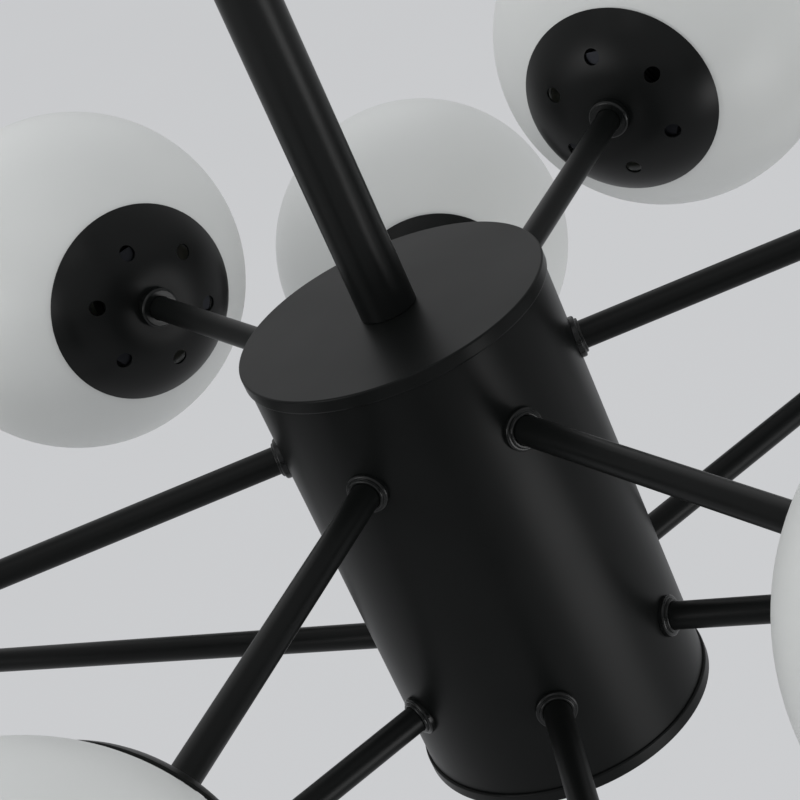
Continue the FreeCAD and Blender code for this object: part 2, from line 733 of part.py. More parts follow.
def lamps():
    """Every lamp's number word, azimuth, reach of its dish and level."""
    step = FULL_TURN / LAMPS_PER_TIER
    tiers = (("upper", 0.0, S["upper_reach"], upper_level),
             ("lower", step / 2, S["lower_reach"], lower_level))
    found = []
    for tier, first, reach, level in tiers:
        for number in range(LAMPS_PER_TIER):
            found.append((f"{tier}_{number + 1}", first + number * step, reach - globe_offset, level))
    return found


def make_arm(name, azimuth, dish, level):
    """A straight tube from inside the hub to inside the lampholder's foot."""
    start = hub_bore - S["arm_inside"]
    arm = ring(name, S["arm_radius"] - S["arm_wall"], S["arm_radius"], dish + arm_seat - start)
    return move_out(arm, azimuth, start, level)


def make_collar(name, azimuth, level):
    """A round flange with a bead, cut to sit on the drum."""
    radius, bead = S["collar_radius"], S["bead_radius"]
    back = S["hub_radius"] - leg(S["hub_radius"], radius) + S["seat_gap"]
    front = back + S["collar_thickness"]
    top = front + S["bead_height"]
    edge = S["collar_thickness"] / 2.0
    bead_edge = S["bead_height"] * BEAD_ROUNDED_SHARE
    blank = turned(f"{name}_blank", [
        (arm_hole, 0),
        (radius, 0),
        (radius, front - edge),
        (radius - edge, front, edge),
        (bead, front),
        (bead, top - bead_edge),
        (bead - bead_edge, top, bead_edge),
        (arm_hole, top),
    ])
    move_out(blank, azimuth, S["hub_radius"] - back, level)
    drum = rod(f"{name}_seat", S["hub_radius"] + S["seat_gap"], 4.0 * radius)
    move(drum, z=level - 2.0 * radius)
    return cut(name, blank, drum)


def make_ferrule(name, azimuth, dish, level):
    """The round ferrule that the dish is clamped against."""
    radius, length = S["ferrule_radius"], S["ferrule_length"]
    edge = S["ferrule_edge"]
    ferrule = turned(name, [
        (arm_hole, 0),
        (radius - edge, 0),
        (radius, edge, edge),
        (radius, length),
        (arm_hole, length),
    ])
    return move_out(ferrule, azimuth, dish - S["seat_gap"] - length, level)


def make_dish(name, azimuth, dish, level):
    """A spun dish: flat in the middle, then one arc out to the rim, with a circle of vents."""
    body = turned(name, [
        (arm_hole, 0),
        (S["dish_flat"], 0),
        (S["dish_radius"], S["dish_depth"], dish_arc),
        (rim_inner_radius, rim_inner_depth),
        (S["dish_flat"], S["dish_wall"], -inner_arc),
        (arm_hole, S["dish_wall"]),
    ])
    sketch = new_sketch(body, f"{name}_vent_place", "XY_Plane")
    circle(sketch, S["vent_circle"], 0, S["vent_radius"])
    vent = body.newObject("PartDesign::Pocket", f"{name}_vent")
    vent.Profile = sketch
    vent.Reversed = True
    bind(vent, "Length", S["dish_depth"] + S["dish_wall"])
    vents = body.newObject("PartDesign::PolarPattern", f"{name}_vents")
    vents.Originals = [vent]
    vents.Axis = (sketch, ["N_Axis"])
    vents.Angle = FULL_TURN
    vents.Occurrences = VENTS_PER_DISH
    body.Tip = vents
    return move_out(body, azimuth, dish, level)


def dish_floor(radius):
    """Depth of the dish's inner face at a radius outside its flat middle."""
    return dish_arc - leg(inner_arc, radius - S["dish_flat"])


def make_spring(name, azimuth, dish, level):
    """A stamped spring: a ring under the nut, and leaves that press inside the globe's mouth."""
    thick, half_width = S["spring_thickness"], S["spring_width"] / 2.0
    crest = leg(S["mouth_radius"] - S["glass_gap"], half_width)
    crest_depth = (mouth_outer + mouth_inner) / 2.0 - spring_face
    bend = crest - S["spring_bend"]
    bend_corner = root((bend + thick) * (bend + thick) + half_width * half_width)
    bend_depth = dish_floor(bend_corner) + S["glass_gap"] - spring_face
    tip = crest - S["spring_taper"]
    tip_depth = mouth_inner + S["spring_tip"] - spring_face
    body = document.addObject("PartDesign::Body", name)
    ring_sketch = new_sketch(body, f"{name}_ring_outline", "XY_Plane")
    circle(ring_sketch, 0, 0, arm_hole, "inner")
    circle(ring_sketch, 0, 0, S["spring_ring"], "outer")
    middle = body.newObject("PartDesign::Pad", f"{name}_ring")
    middle.Profile = ring_sketch
    bind(middle, "Length", thick)
    leaf_sketch = new_sketch(body, f"{name}_leaf_outline", "XZ_Plane")
    root_radius = S["spring_ring"] - S["spring_root"]
    outline(leaf_sketch, [
        (root_radius, 0),
        (S["dish_flat"], 0),
        (bend + thick, bend_depth),
        (crest, crest_depth),
        (tip, tip_depth),
        (tip - thick, tip_depth),
        (crest - thick, crest_depth),
        (bend, bend_depth + thick),
        (S["dish_flat"], thick),
        (root_radius, thick),
    ])
    leaf = body.newObject("PartDesign::Pad", f"{name}_leaf")
    leaf.Profile = leaf_sketch
    leaf.Midplane = True
    bind(leaf, "Length", S["spring_width"])
    leaves = body.newObject("PartDesign::PolarPattern", f"{name}_leaves")
    leaves.Originals = [leaf]
    leaves.Axis = (ring_sketch, ["N_Axis"])
    leaves.Angle = FULL_TURN
    leaves.Occurrences = LEAVES_PER_SPRING
    body.Tip = leaves
    return move_out(body, azimuth, dish + spring_face, level)


def make_holder(name, azimuth, dish, level):
    """A lampholder: a foot that screws onto the arm's end, and a socket for the bulb's cap."""
    foot, foot_height = S["holder_foot"], S["holder_foot_height"]
    radius, length = S["holder_radius"], S["holder_length"]
    socket = S["bulb_cap_radius"] + S["glass_gap"]
    socket_floor = length - S["bulb_cap_inside"] - S["contact_room"]
    arm_depth = arm_seat - holder_face + S["seat_gap"]
    edge = S["holder_edge"]
    holder = turned(name, [
        (arm_hole, 0),
        (foot, 0),
        (foot, foot_height),
        (radius, foot_height + (radius - foot)),
        (radius, length - edge),
        (radius - edge, length, edge),
        (socket, length),
        (socket, socket_floor),
        (0, socket_floor),
        (0, arm_depth),
        (arm_hole, arm_depth),
    ])
    return move_out(holder, azimuth, dish + holder_face, level)


def make_bulb(name, azimuth, dish, level):
    """A golf-ball bulb: a screw cap, a neck and a round end, drawn from the cap's contact out."""
    ball = S["bulb_radius"]
    neck_level = S["bulb_cap_inside"] + S["neck_lift"]
    centre = S["bulb_length"] - ball
    low = math.radians(BULB_NECK_ANGLE)
    join_radius = ball * math.cos(low)
    join_level = centre - ball * math.sin(low)
    contact = S["bulb_contact"]
    bulb = turned(name, [
        (0, 0),
        (contact, 0),
        (S["bulb_cap_radius"], contact),
        (S["bulb_cap_radius"], neck_level),
        (S["bulb_neck"], neck_level),
        (join_radius, join_level),
        (ball, centre, ball),
        (0, S["bulb_length"], ball),
    ])
    return move_out(bulb, azimuth, dish + holder_mouth - S["bulb_cap_inside"], level)


def make_globe(name, azimuth, dish, level):
    """A blown opal globe with a round mouth that faces the hub."""
    outer, inner, mouth = S["globe_radius"], globe_bore, S["mouth_radius"]
    outer_mouth = -leg(outer, mouth)
    inner_mouth = -leg(inner, mouth)
    bottom = S["globe_radius"]
    globe = turned(name, [
        (mouth, outer_mouth + bottom),
        (outer, bottom, outer),
        (0, outer + bottom, outer),
        (0, inner + bottom),
        (inner, bottom, -inner),
        (mouth, inner_mouth + bottom, -inner),
    ])
    return move_out(globe, azimuth, dish + globe_offset - bottom, level)


# ---------------------------------------------------------------- the whole lamp


def build():
    """Makes every sub-part, and returns them in the order in which they are written."""
    parts = [
        make_bracket(),
        make_canopy(),
        make_side_screws(),
        make_nipple(),
        make_nipple_nuts(),
        make_terminal_block(),
        make_fork(),
        make_pin(),
        make_knuckle(),
        make_stem(),
        make_plug(),
        make_tie_rod(),
    ]
    parts += make_caps()
    parts.append(make_hub_tube())
    washer, lid_nut = make_rod_nuts()
    parts += [washer, make_finial()]
    collars, ferrules, springs, holders, bulbs, nuts = [], [], [], [], [], [lid_nut]
    for name, azimuth, dish, level in lamps():
        parts.append(make_arm(f"arm_{name}", azimuth, dish, level))
        parts.append(make_dish(f"dish_{name}", azimuth, dish, level))
        parts.append(make_globe(f"globe_{name}", azimuth, dish, level))
        collars.append(make_collar(f"collar_{name}", azimuth, level))
        ferrules.append(make_ferrule(f"ferrule_{name}", azimuth, dish, level))
        springs.append(make_spring(f"spring_{name}", azimuth, dish, level))
        holders.append(make_holder(f"holder_{name}", azimuth, dish, level))
        bulbs.append(make_bulb(f"bulb_{name}", azimuth, dish, level))
        dish_nut = make_nut(f"dish_nut_{name}", S["arm_radius"])
        nuts.append(move_out(dish_nut, azimuth, dish + nut_face, level))
        hub_nut = make_nut(f"hub_nut_{name}", S["arm_radius"])
        corner = (S["arm_radius"] + S["nut_wall"]) / hexagon_ratio
        seat = leg(hub_bore, corner) - S["seat_gap"] - S["nut_height"]
        nuts.append(move_out(hub_nut, azimuth, seat, level))
    parts += [
        group("arm_collars", collars),
        group("dish_ferrules", ferrules),
        group("lock_nuts", nuts),
        group("globe_springs", springs),
        group("lampholders", holders),
        group("bulbs", bulbs),
    ]
    return parts


def check(parts):
    """Stops if any object failed, or if a sub-part has no sound shape."""
    for item in document.Objects:
        if "Invalid" in item.State or "Error" in item.State:
            raise RuntimeError(f"{item.Label} failed: {item.State}")
    for part in parts:
        shape = part.Shape
        if shape.isNull() or not shape.isValid() or not shape.Solids:
            raise RuntimeError(f"{part.Label} has no sound solid")


def export(parts):
    os.makedirs("parts", exist_ok=True)
    for part in parts:
        part.Shape.exportStep(f"parts/{part.Label}.step")
        solids = len(part.Shape.Solids)
        print(f"{part.Label}: {solids} solids, {part.Shape.Volume / 1000:.3f} cm3")


parts = build()
document.recompute()
check(parts)
export(parts)
print(f"{len(parts)} nodes, pin level {pin_level.value:.2f}, hub top {hub_top.value:.2f}")
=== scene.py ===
import json
import math

import bmesh
import bpy
from bpy.props import FloatProperty, FloatVectorProperty, IntProperty, PointerProperty
from bpy.types import Operator, Panel, PropertyGroup
from mathutils import Matrix, Vector


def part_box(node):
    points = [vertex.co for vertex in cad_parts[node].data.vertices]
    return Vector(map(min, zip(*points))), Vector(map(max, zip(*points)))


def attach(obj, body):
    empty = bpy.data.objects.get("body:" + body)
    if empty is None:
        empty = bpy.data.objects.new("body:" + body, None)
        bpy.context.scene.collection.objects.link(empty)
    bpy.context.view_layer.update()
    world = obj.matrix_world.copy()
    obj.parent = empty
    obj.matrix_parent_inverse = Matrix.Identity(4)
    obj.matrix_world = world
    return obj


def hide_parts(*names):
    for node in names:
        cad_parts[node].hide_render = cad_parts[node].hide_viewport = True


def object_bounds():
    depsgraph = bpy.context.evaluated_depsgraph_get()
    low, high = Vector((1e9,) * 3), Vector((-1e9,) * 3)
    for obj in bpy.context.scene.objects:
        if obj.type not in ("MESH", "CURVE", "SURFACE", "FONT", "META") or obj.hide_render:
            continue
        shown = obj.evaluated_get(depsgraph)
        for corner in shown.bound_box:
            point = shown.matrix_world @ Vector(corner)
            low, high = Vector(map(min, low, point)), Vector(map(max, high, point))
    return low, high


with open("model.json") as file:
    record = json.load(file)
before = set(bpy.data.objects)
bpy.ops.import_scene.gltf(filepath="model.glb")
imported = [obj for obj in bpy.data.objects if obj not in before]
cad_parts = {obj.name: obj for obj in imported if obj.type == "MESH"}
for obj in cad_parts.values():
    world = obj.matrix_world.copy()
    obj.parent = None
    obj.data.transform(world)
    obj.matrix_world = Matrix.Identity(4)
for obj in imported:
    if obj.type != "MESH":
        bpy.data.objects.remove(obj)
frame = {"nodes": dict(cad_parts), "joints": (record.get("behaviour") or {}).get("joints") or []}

bl_info = {
    "name": "Sputnik Chandelier",
    "version": (1, 0, 0),
    "blender": (4, 5, 0),
    "location": "View3D > Sidebar > Chandelier",
    "description": "Dresses the black chandelier with its coat, opal globes, dishes and studio",
    "category": "Add Mesh",
}

CAD_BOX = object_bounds()
MM = 0.001
FULL = math.tau
UP = Vector((0, 0, 1))
SHARP = math.radians(35)  # an edge that turns by more than this stays sharp
MERGE = 0.002 * MM  # points nearer than this become one
CORNER_SEGMENTS = 6  # facets of a rounded corner of a turned piece
NOISE_LOW, NOISE_HIGH = 0.3, 0.7  # nearly all of a noise lies between these


def box_of(node):
    """Lowest corner, highest corner and radius about Z of an upright round node."""
    low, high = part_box(node)
    return low, high, (high.x - low.x) / 2


# ---------------------------------------------------------------- places that the frame gives

# each lamp's name, its way out from the hub, its globe's centre and its globe's body
LAMPS = []
for joint in frame["joints"]:
    if joint["type"] == "slide":
        out = Vector(joint["axis"]).normalized()
        lamp = joint["name"].replace("globe_", "").replace("_pull", "")
        LAMPS.append((lamp, out, Vector(joint["pos_m"]), joint["child"]))

HUB_LOW, HUB_HIGH, HUB_RADIUS = box_of("hub_tube")
LID_LOW, LID_HIGH, LID_RADIUS = box_of("hub_lid")
BASE_LOW, _, _ = box_of("hub_base")
STEM_LOW, STEM_HIGH, STEM_RADIUS = box_of("stem_tube")
COVER_LOW, COVER_HIGH, COVER_RADIUS = box_of("canopy_cover")
FINIAL_LOW, FINIAL_HIGH, FINIAL_RADIUS = box_of("base_finial")

# the first lamp of the upper tier points along X, so its boxes give sizes along the arm
ARM_LOW, ARM_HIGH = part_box("arm_upper_1")
ARM_START = ARM_LOW.x
ARM_RADIUS = (ARM_HIGH.z - ARM_LOW.z) / 2
GLOBE_LOW, GLOBE_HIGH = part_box("globe_upper_1")
GLOBE_RADIUS = (GLOBE_HIGH.z - GLOBE_LOW.z) / 2
DISH_LOW, DISH_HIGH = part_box("dish_upper_1")
DISH_RADIUS = (DISH_HIGH.z - DISH_LOW.z) / 2

# from a dish's face, outwards: the globe's centre, the arm's end and the lampholder's face
ARM_ENTRY = 4 * MM  # how far an arm's end goes into its lampholder
GLOBE_OFFSET = LAMPS[0][2].x - DISH_LOW.x
ARM_SEAT = ARM_HIGH.x - DISH_LOW.x
HOLDER_FACE = ARM_SEAT - ARM_ENTRY


# ---------------------------------------------------------------- what a user would change


class ChandelierSizes(PropertyGroup):
    """Facets and sizes of the details that the dressed pieces show."""

    hub_steps: IntProperty(
        name="Hub steps", description="Facets round the hub's caps and the canopy cover",
        default=160, min=32)
    drum_steps: IntProperty(
        name="Drum steps", description="Quads round the hub's drum", default=120, min=32)
    drum_rows: IntProperty(
        name="Drum rows", description="Quads up the hub's drum", default=60, min=8)
    tube_steps: IntProperty(
        name="Tube steps", description="Facets round the stem and the finial", default=64, min=16)
    arm_steps: IntProperty(
        name="Arm steps", description="Facets round an arm and a bulb's cap", default=48, min=16)
    fitting_steps: IntProperty(
        name="Fitting steps", description="Facets round a collar, a ferrule and a lampholder",
        default=64, min=16)
    screw_steps: IntProperty(
        name="Screw steps", description="Facets round a canopy screw's shank", default=24, min=8)
    dish_steps: IntProperty(
        name="Dish steps", description="Quads round a dish", default=96, min=24)
    dish_rows: IntProperty(
        name="Dish rows", description="Quads from a dish's hole to its rim", default=19, min=8)
    globe_steps: IntProperty(
        name="Globe steps", description="Facets round a globe", default=96, min=24)
    globe_rows: IntProperty(
        name="Globe rows", description="Rows of facets of a globe before its mouth is cut",
        default=64, min=16)
    bulb_steps: IntProperty(
        name="Bulb steps", description="Facets round a bulb's ball", default=64, min=16)
    bulb_rows: IntProperty(
        name="Bulb rows", description="Rows of facets of a bulb's whole ball", default=40, min=8)
    hub_wall: FloatProperty(
        name="Hub wall", description="Wall of the hub tube", default=1.5 * MM, unit="LENGTH")
    cap_edge: FloatProperty(
        name="Cap edge", description="Rounding of the caps' outer edge", default=0.7 * MM,
        unit="LENGTH")
    skirt_edge: FloatProperty(
        name="Skirt edge", description="Rounding of the rim of a cap's skirt", default=0.8 * MM,
        unit="LENGTH")
    cap_plate: FloatProperty(
        name="Cap plate", description="Plate thickness of the hub's caps", default=2.0 * MM,
        unit="LENGTH")
    finial_nose: FloatProperty(
        name="Finial nose", description="Rounding of the finial's nose", default=6.0 * MM,
        unit="LENGTH")
    stem_wall: FloatProperty(
        name="Stem wall", description="Wall of the stem", default=1.5 * MM, unit="LENGTH")
    arm_wall: FloatProperty(
        name="Arm wall", description="Wall of an arm", default=1.0 * MM, unit="LENGTH")
    thin_edge: FloatProperty(
        name="Thin edge", description="Rounding of arms, dishes, ferrules and collar holes",
        default=0.2 * MM, unit="LENGTH")
    tube_edge: FloatProperty(
        name="Tube edge", description="Rounding of the stem's ends and of the screws' grips",
        default=0.25 * MM, unit="LENGTH")
    sheet_edge: FloatProperty(
        name="Sheet edge", description="Rounding of the canopy's rims and the lampholders' mouths",
        default=0.3 * MM, unit="LENGTH")
    plain_edge: FloatProperty(
        name="Plain edge", description="Rounding of the other small turned and moulded pieces",
        default=0.4 * MM, unit="LENGTH")
    collar_radius: FloatProperty(
        name="Collar radius", description="Radius of a hub collar's flange", default=7.4 * MM,
        unit="LENGTH")
    collar_thickness: FloatProperty(
        name="Collar thickness", description="Thickness of a hub collar's flange",
        default=1.8 * MM, unit="LENGTH")
    collar_edge: FloatProperty(
        name="Collar edge", description="Rounding of a hub collar's flange", default=0.8 * MM,
        unit="LENGTH")
    bead_radius: FloatProperty(
        name="Bead radius", description="Radius of the bead on a hub collar", default=6.2 * MM,
        unit="LENGTH")
    bead_height: FloatProperty(
        name="Bead height", description="How far the bead stands off its flange",
        default=0.9 * MM, unit="LENGTH")
    bead_root: FloatProperty(
        name="Bead root", description="Rounding of the corner between bead and flange",
        default=0.15 * MM, unit="LENGTH")
    bead_edge: FloatProperty(
        name="Bead edge", description="Rounding of the bead's outer edge", default=0.55 * MM,
        unit="LENGTH")
    ferrule_radius: FloatProperty(
        name="Ferrule radius", description="Radius of the ferrule behind a dish",
        default=8.5 * MM, unit="LENGTH")
    ferrule_length: FloatProperty(
        name="Ferrule length", description="Length of the ferrule behind a dish",
        default=4.0 * MM, unit="LENGTH")
    ferrule_edge: FloatProperty(
        name="Ferrule edge", description="Rounding of a ferrule's back", default=1.2 * MM,
        unit="LENGTH")
    fit: FloatProperty(
        name="Fit", description="Play of a tube in its hole", default=0.05 * MM, unit="LENGTH")
    dish_flat: FloatProperty(
        name="Dish flat", description="Radius of the flat middle of a dish", default=12 * MM,
        unit="LENGTH")
    dish_depth: FloatProperty(
        name="Dish depth", description="Depth of a dish's curve", default=14 * MM, unit="LENGTH")
    dish_wall: FloatProperty(
        name="Dish wall", description="Sheet thickness of a dish", default=1.0 * MM,
        unit="LENGTH")
    vent_radius: FloatProperty(
        name="Vent radius", description="Radius of a vent hole", default=3.25 * MM,
        unit="LENGTH")
    vent_circle: FloatProperty(
        name="Vent circle", description="Radius of the circle of vents", default=26 * MM,
        unit="LENGTH")
    vents: IntProperty(
        name="Vents", description="Vent holes in a dish", default=6, min=1)
    globe_wall: FloatProperty(
        name="Globe wall", description="Wall of a globe", default=2.5 * MM, unit="LENGTH")
    mouth_radius: FloatProperty(
        name="Mouth radius", description="Radius of a globe's mouth", default=30 * MM,
        unit="LENGTH")
    mouth_edge: FloatProperty(
        name="Mouth edge", description="Rounding of a globe's fire-polished mouth",
        default=0.9 * MM, unit="LENGTH")
    cover_wall: FloatProperty(
        name="Cover wall", description="Sheet thickness of the canopy cover", default=1.2 * MM,
        unit="LENGTH")
    cover_corner: FloatProperty(
        name="Cover corner", description="Rounding of the canopy's lower corner",
        default=5.0 * MM, unit="LENGTH")
    holder_radius: FloatProperty(
        name="Lampholder radius", description="Radius of a lampholder", default=12.5 * MM,
        unit="LENGTH")
    holder_length: FloatProperty(
        name="Lampholder length", description="Length of a lampholder", default=32 * MM,
        unit="LENGTH")
    bulb_radius: FloatProperty(
        name="Bulb radius", description="Radius of a bulb's ball", default=22.5 * MM,
        unit="LENGTH")
    bulb_length: FloatProperty(
        name="Bulb length", description="Overall length of a bulb", default=78 * MM,
        unit="LENGTH")
    knurls: IntProperty(
        name="Knurls", description="Grip ridges on a canopy screw's head", default=24, min=8)


class ChandelierColours(PropertyGroup):
    """Colours of the finishes, as linear values."""

    black_coat: FloatVectorProperty(
        name="Black coat", description="Powder coat of the black metalwork", subtype="COLOR",
        size=3, default=(0.0036, 0.0040, 0.0038), min=0, max=1)
    opal_glass: FloatVectorProperty(
        name="Opal glass", description="The globes' satin opal glass", subtype="COLOR",
        size=3, default=(0.51, 0.515, 0.50), min=0, max=1)
    zinc: FloatVectorProperty(
        name="Zinc", description="Zinc plating of the bracket", subtype="COLOR",
        size=3, default=(0.56, 0.57, 0.58), min=0, max=1)
    steel: FloatVectorProperty(
        name="Steel", description="Plain steel of nuts, rods and bulb caps", subtype="COLOR",
        size=3, default=(0.42, 0.42, 0.43), min=0, max=1)
    spring: FloatVectorProperty(
        name="Spring steel", description="Blued spring steel of the globe springs",
        subtype="COLOR", size=3, default=(0.020, 0.021, 0.024), min=0, max=1)
    terminal: FloatVectorProperty(
        name="Terminal block", description="Moulded terminal block", subtype="COLOR",
        size=3, default=(0.72, 0.71, 0.66), min=0, max=1)
    holder: FloatVectorProperty(
        name="Lampholder", description="Moulded black lampholder", subtype="COLOR",
        size=3, default=(0.018, 0.018, 0.019), min=0, max=1)
    bulb: FloatVectorProperty(
        name="Bulb", description="The bulbs' opal shell", subtype="COLOR",
        size=3, default=(0.80, 0.79, 0.75), min=0, max=1)
    backdrop: FloatVectorProperty(
        name="Backdrop", description="The pale studio that the camera sees", subtype="COLOR",
        size=3, default=(0.585, 0.59, 0.60), min=0, max=1)
    floor_paint: FloatVectorProperty(
        name="Floor paint", description="The studio floor's own paint", subtype="COLOR",
        size=3, default=(0.60, 0.605, 0.615), min=0, max=1)
    daylight: FloatVectorProperty(
        name="Daylight", description="The even studio light", subtype="COLOR",
        size=3, default=(0.95, 0.97, 1.0), min=0, max=1)


class ChandelierStudio(PropertyGroup):
    """Camera and light."""

    lens: FloatProperty(
        name="Lens", description="Focal length on a 36 mm sensor", default=98.8, min=10)
    distance: FloatProperty(
        name="Distance", description="Camera to the middle of the lid", default=0.7369,
        unit="LENGTH")
    place_azimuth: FloatProperty(
        name="Place azimuth", description="Azimuth of the camera about the stem, from +X",
        default=math.radians(214.47), subtype="ANGLE")
    place_elevation: FloatProperty(
        name="Place elevation", description="Elevation of the camera over the lid",
        default=math.radians(23.70), subtype="ANGLE")
    heading: FloatProperty(
        name="Heading", description="Heading of the optical axis, from +X",
        default=math.radians(35.27), subtype="ANGLE")
    dip: FloatProperty(
        name="Dip", description="How far the optical axis looks down",
        default=math.radians(26.02), subtype="ANGLE")
    roll: FloatProperty(
        name="Roll", description="Roll of the camera about its axis",
        default=math.radians(-24.73), subtype="ANGLE")
    floor_drop: FloatProperty(
        name="Floor drop", description="Lowest piece to the floor", default=0.95, unit="LENGTH")
    floor_reach: FloatProperty(
        name="Floor reach", description="Middle of the floor to its sides", default=14,
        unit="LENGTH")
    floor_glow: FloatProperty(
        name="Floor glow", description="Share of the backdrop in what the floor shows",
        default=0.75, min=0, max=1)
    ambient: FloatProperty(
        name="Ambient", description="Strength of the even studio light", default=1.0, min=0)


# ---------------------------------------------------------------- making and placing pieces


def settings():
    """The sizes, the colours and the studio that the sidebar shows."""
    scene = bpy.context.scene
    return scene.chandelier_sizes, scene.chandelier_colours, scene.chandelier_studio


def turned(corners, steps, on_axis=False):
    """Spins an outline of (radius, height, rounding) corners about local Z."""
    bm = bmesh.new()
    verts = [bm.verts.new((corner[0], 0, corner[1])) for corner in corners]
    pairs = list(zip(verts, verts[1:]))
    if not on_axis:
        pairs.append((verts[-1], verts[0]))
    for pair in pairs:
        bm.edges.new(pair)
    for vert, corner in zip(verts, corners):
        if len(corner) > 2:
            bmesh.ops.bevel(
                bm, geom=[vert], offset=corner[2], offset_type="OFFSET", affect="VERTICES",
                segments=CORNER_SEGMENTS, profile=0.5, material=-1, clamp_overlap=True)
    return spun(bm, steps)


def sheet(start, end, rows, steps):
    """Spins the line between two points into a sheet of quads about local Z."""
    bm = bmesh.new()
    line = bm.edges.new([bm.verts.new(start), bm.verts.new(end)])
    bmesh.ops.subdivide_edges(bm, edges=[line], cuts=rows - 1)
    return spun(bm, steps)


def spun(bm, steps):
    """Spins an outline once about local Z."""
    bmesh.ops.spin(
        bm, geom=bm.verts[:] + bm.edges[:], axis=UP, cent=(0, 0, 0), angle=FULL, steps=steps,
        use_merge=True)
    return cleaned(bm)


def open_ball(radius, steps, rows, level):
    """A ball about the origin, without what lies below a level."""
    bm = bmesh.new()
    bmesh.ops.create_uvsphere(bm, u_segments=steps, v_segments=rows, radius=radius)
    bmesh.ops.bisect_plane(
        bm, geom=bm.verts[:] + bm.edges[:] + bm.faces[:], plane_co=(0, 0, level),
        plane_no=(0, 0, -1), clear_outer=True)
    return bm


def verts_of(made):
    """The vertices in what an extrude operator made."""
    return [item for item in made["geom"] if isinstance(item, bmesh.types.BMVert)]


def cleaned(bm):
    """Merges doubled points, and turns every face outwards."""
    bmesh.ops.remove_doubles(bm, verts=bm.verts, dist=MERGE)
    bmesh.ops.recalc_face_normals(bm, faces=bm.faces)
    return bm


def soften(bm, offset, segments=2):
    """Bevels every sharp edge of a solid."""
    sharp = [edge for edge in bm.edges
             if len(edge.link_faces) == 2 and edge.calc_face_angle(0) > SHARP]
    bmesh.ops.bevel(
        bm, geom=sharp, offset=offset, offset_type="OFFSET", affect="EDGES", segments=segments,
        profile=0.5, material=-1, clamp_overlap=True)
    return bm


def punch(bm, place, radius, reach):
    """Opens a round hole of a sheet of quads about place's Z axis, and returns its rim.

    The quads whose middles are nearer than reach make way for a ring of quads round the hole.
    """
    inverse = place.inverted()
    near = []
    for face in bm.faces:
        point = inverse @ face.calc_center_median()
        if max(abs(point.x), abs(point.y)) < reach and abs(point.z) < reach:
            near.append(face)
    border = [edge for face in near for edge in face.edges
              if sum(other in near for other in edge.link_faces) == 1]
    bmesh.ops.delete(bm, geom=near, context="FACES")
    border = [edge for edge in border if edge.is_valid]
    rim = verts_of(bmesh.ops.extrude_edge_only(bm, edges=border))

    def turn(vert):
        point = inverse @ vert.co
        return math.atan2(point.y, point.x)

    rim.sort(key=turn)
    step = FULL / len(rim)
    first = sum(turn(vert) - step * number for number, vert in enumerate(rim)) / len(rim)
    for number, vert in enumerate(rim):
        angle = first + step * number
        vert.co = place @ Vector((radius * math.cos(angle), radius * math.sin(angle), 0))
    return rim


def thicken(bm, thickness):
    """Gives a sheet a wall on the side that its faces turn away from."""
    bmesh.ops.solidify(bm, geom=bm.faces[:] + bm.edges[:] + bm.verts[:], thickness=thickness)
    return bm


def moved(bm, place):
    """Takes a bmesh to its place."""
    bmesh.ops.transform(bm, matrix=place, verts=bm.verts)
    return bm


def joined(parts):
    """One bmesh of several, each with its place."""
    whole = bmesh.new()
    for bm, place in parts:
        mesh = bpy.data.meshes.new("part")
        bm.to_mesh(mesh)
        mesh.transform(place)
        whole.from_mesh(mesh)
        bpy.data.meshes.remove(mesh)
    return whole


def piece(name, bm, material, body, nodes=()):
    """Turns a bmesh into a finished piece that rides on a body."""
    mesh = bpy.data.meshes.new(name)
    bm.to_mesh(mesh)
    bm.free()
    mesh.shade_smooth()
    mesh.set_sharp_from_angle(angle=SHARP)
    mesh.materials.append(material)
    obj = bpy.data.objects.new(name, mesh)
    bpy.context.scene.collection.objects.link(obj)
    weighted = obj.modifiers.new("Even normals", "WEIGHTED_NORMAL")
    weighted.keep_sharp = True
    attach(obj, body)
    if nodes:
        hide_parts(*nodes)
    return obj


def dress(nodes, material):
    """Gives CAD nodes that show as they are their finish."""
    for node in nodes:
        obj = frame["nodes"][node]
        obj.data.materials.clear()
        obj.data.materials.append(material)


def lamp_place(out, centre):
    """Local Z outwards along the arm from a dish's face, local X up."""
    side = out.cross(UP)
    place = Matrix((UP, side, out)).transposed().to_4x4()
    place.translation = centre - out * GLOBE_OFFSET
    return place


def arm_place(out, centre):
    """Local Z outwards along the arm from the hub's axis, local X up."""
    place = lamp_place(out, centre)
    place.translation = Vector((0, 0, centre.z))
    return place


# ---------------------------------------------------------------- finishes


def new_material(name):
    """A node material, its tree, its shader and its object coordinates."""
    material = bpy.data.materials.new(name)
    material.use_nodes = True
    tree = material.node_tree
    shader = tree.nodes["Principled BSDF"]
    coordinates = tree.nodes.new("ShaderNodeTexCoord")
    return material, tree, shader, coordinates.outputs["Object"]


def noise(tree, place, scale, detail, stretch=None):
    """A noise on object coordinates. Scale counts cells in a metre."""
    node = tree.nodes.new("ShaderNodeTexNoise")
    node.inputs["Scale"].default_value = scale
    node.inputs["Detail"].default_value = detail
    if stretch:
        mapping = tree.nodes.new("ShaderNodeMapping")
        mapping.inputs["Scale"].default_value = stretch
        tree.links.new(place, mapping.inputs["Vector"])
        place = mapping.outputs["Vector"]
    tree.links.new(place, node.inputs["Vector"])
    return node.outputs["Fac"]


def spread(tree, value, low, high):
    """Maps a noise to a range."""
    node = tree.nodes.new("ShaderNodeMapRange")
    node.inputs["From Min"].default_value = NOISE_LOW
    node.inputs["From Max"].default_value = NOISE_HIGH
    node.inputs["To Min"].default_value = low
    node.inputs["To Max"].default_value = high
    tree.links.new(value, node.inputs["Value"])
    return node.outputs["Result"]


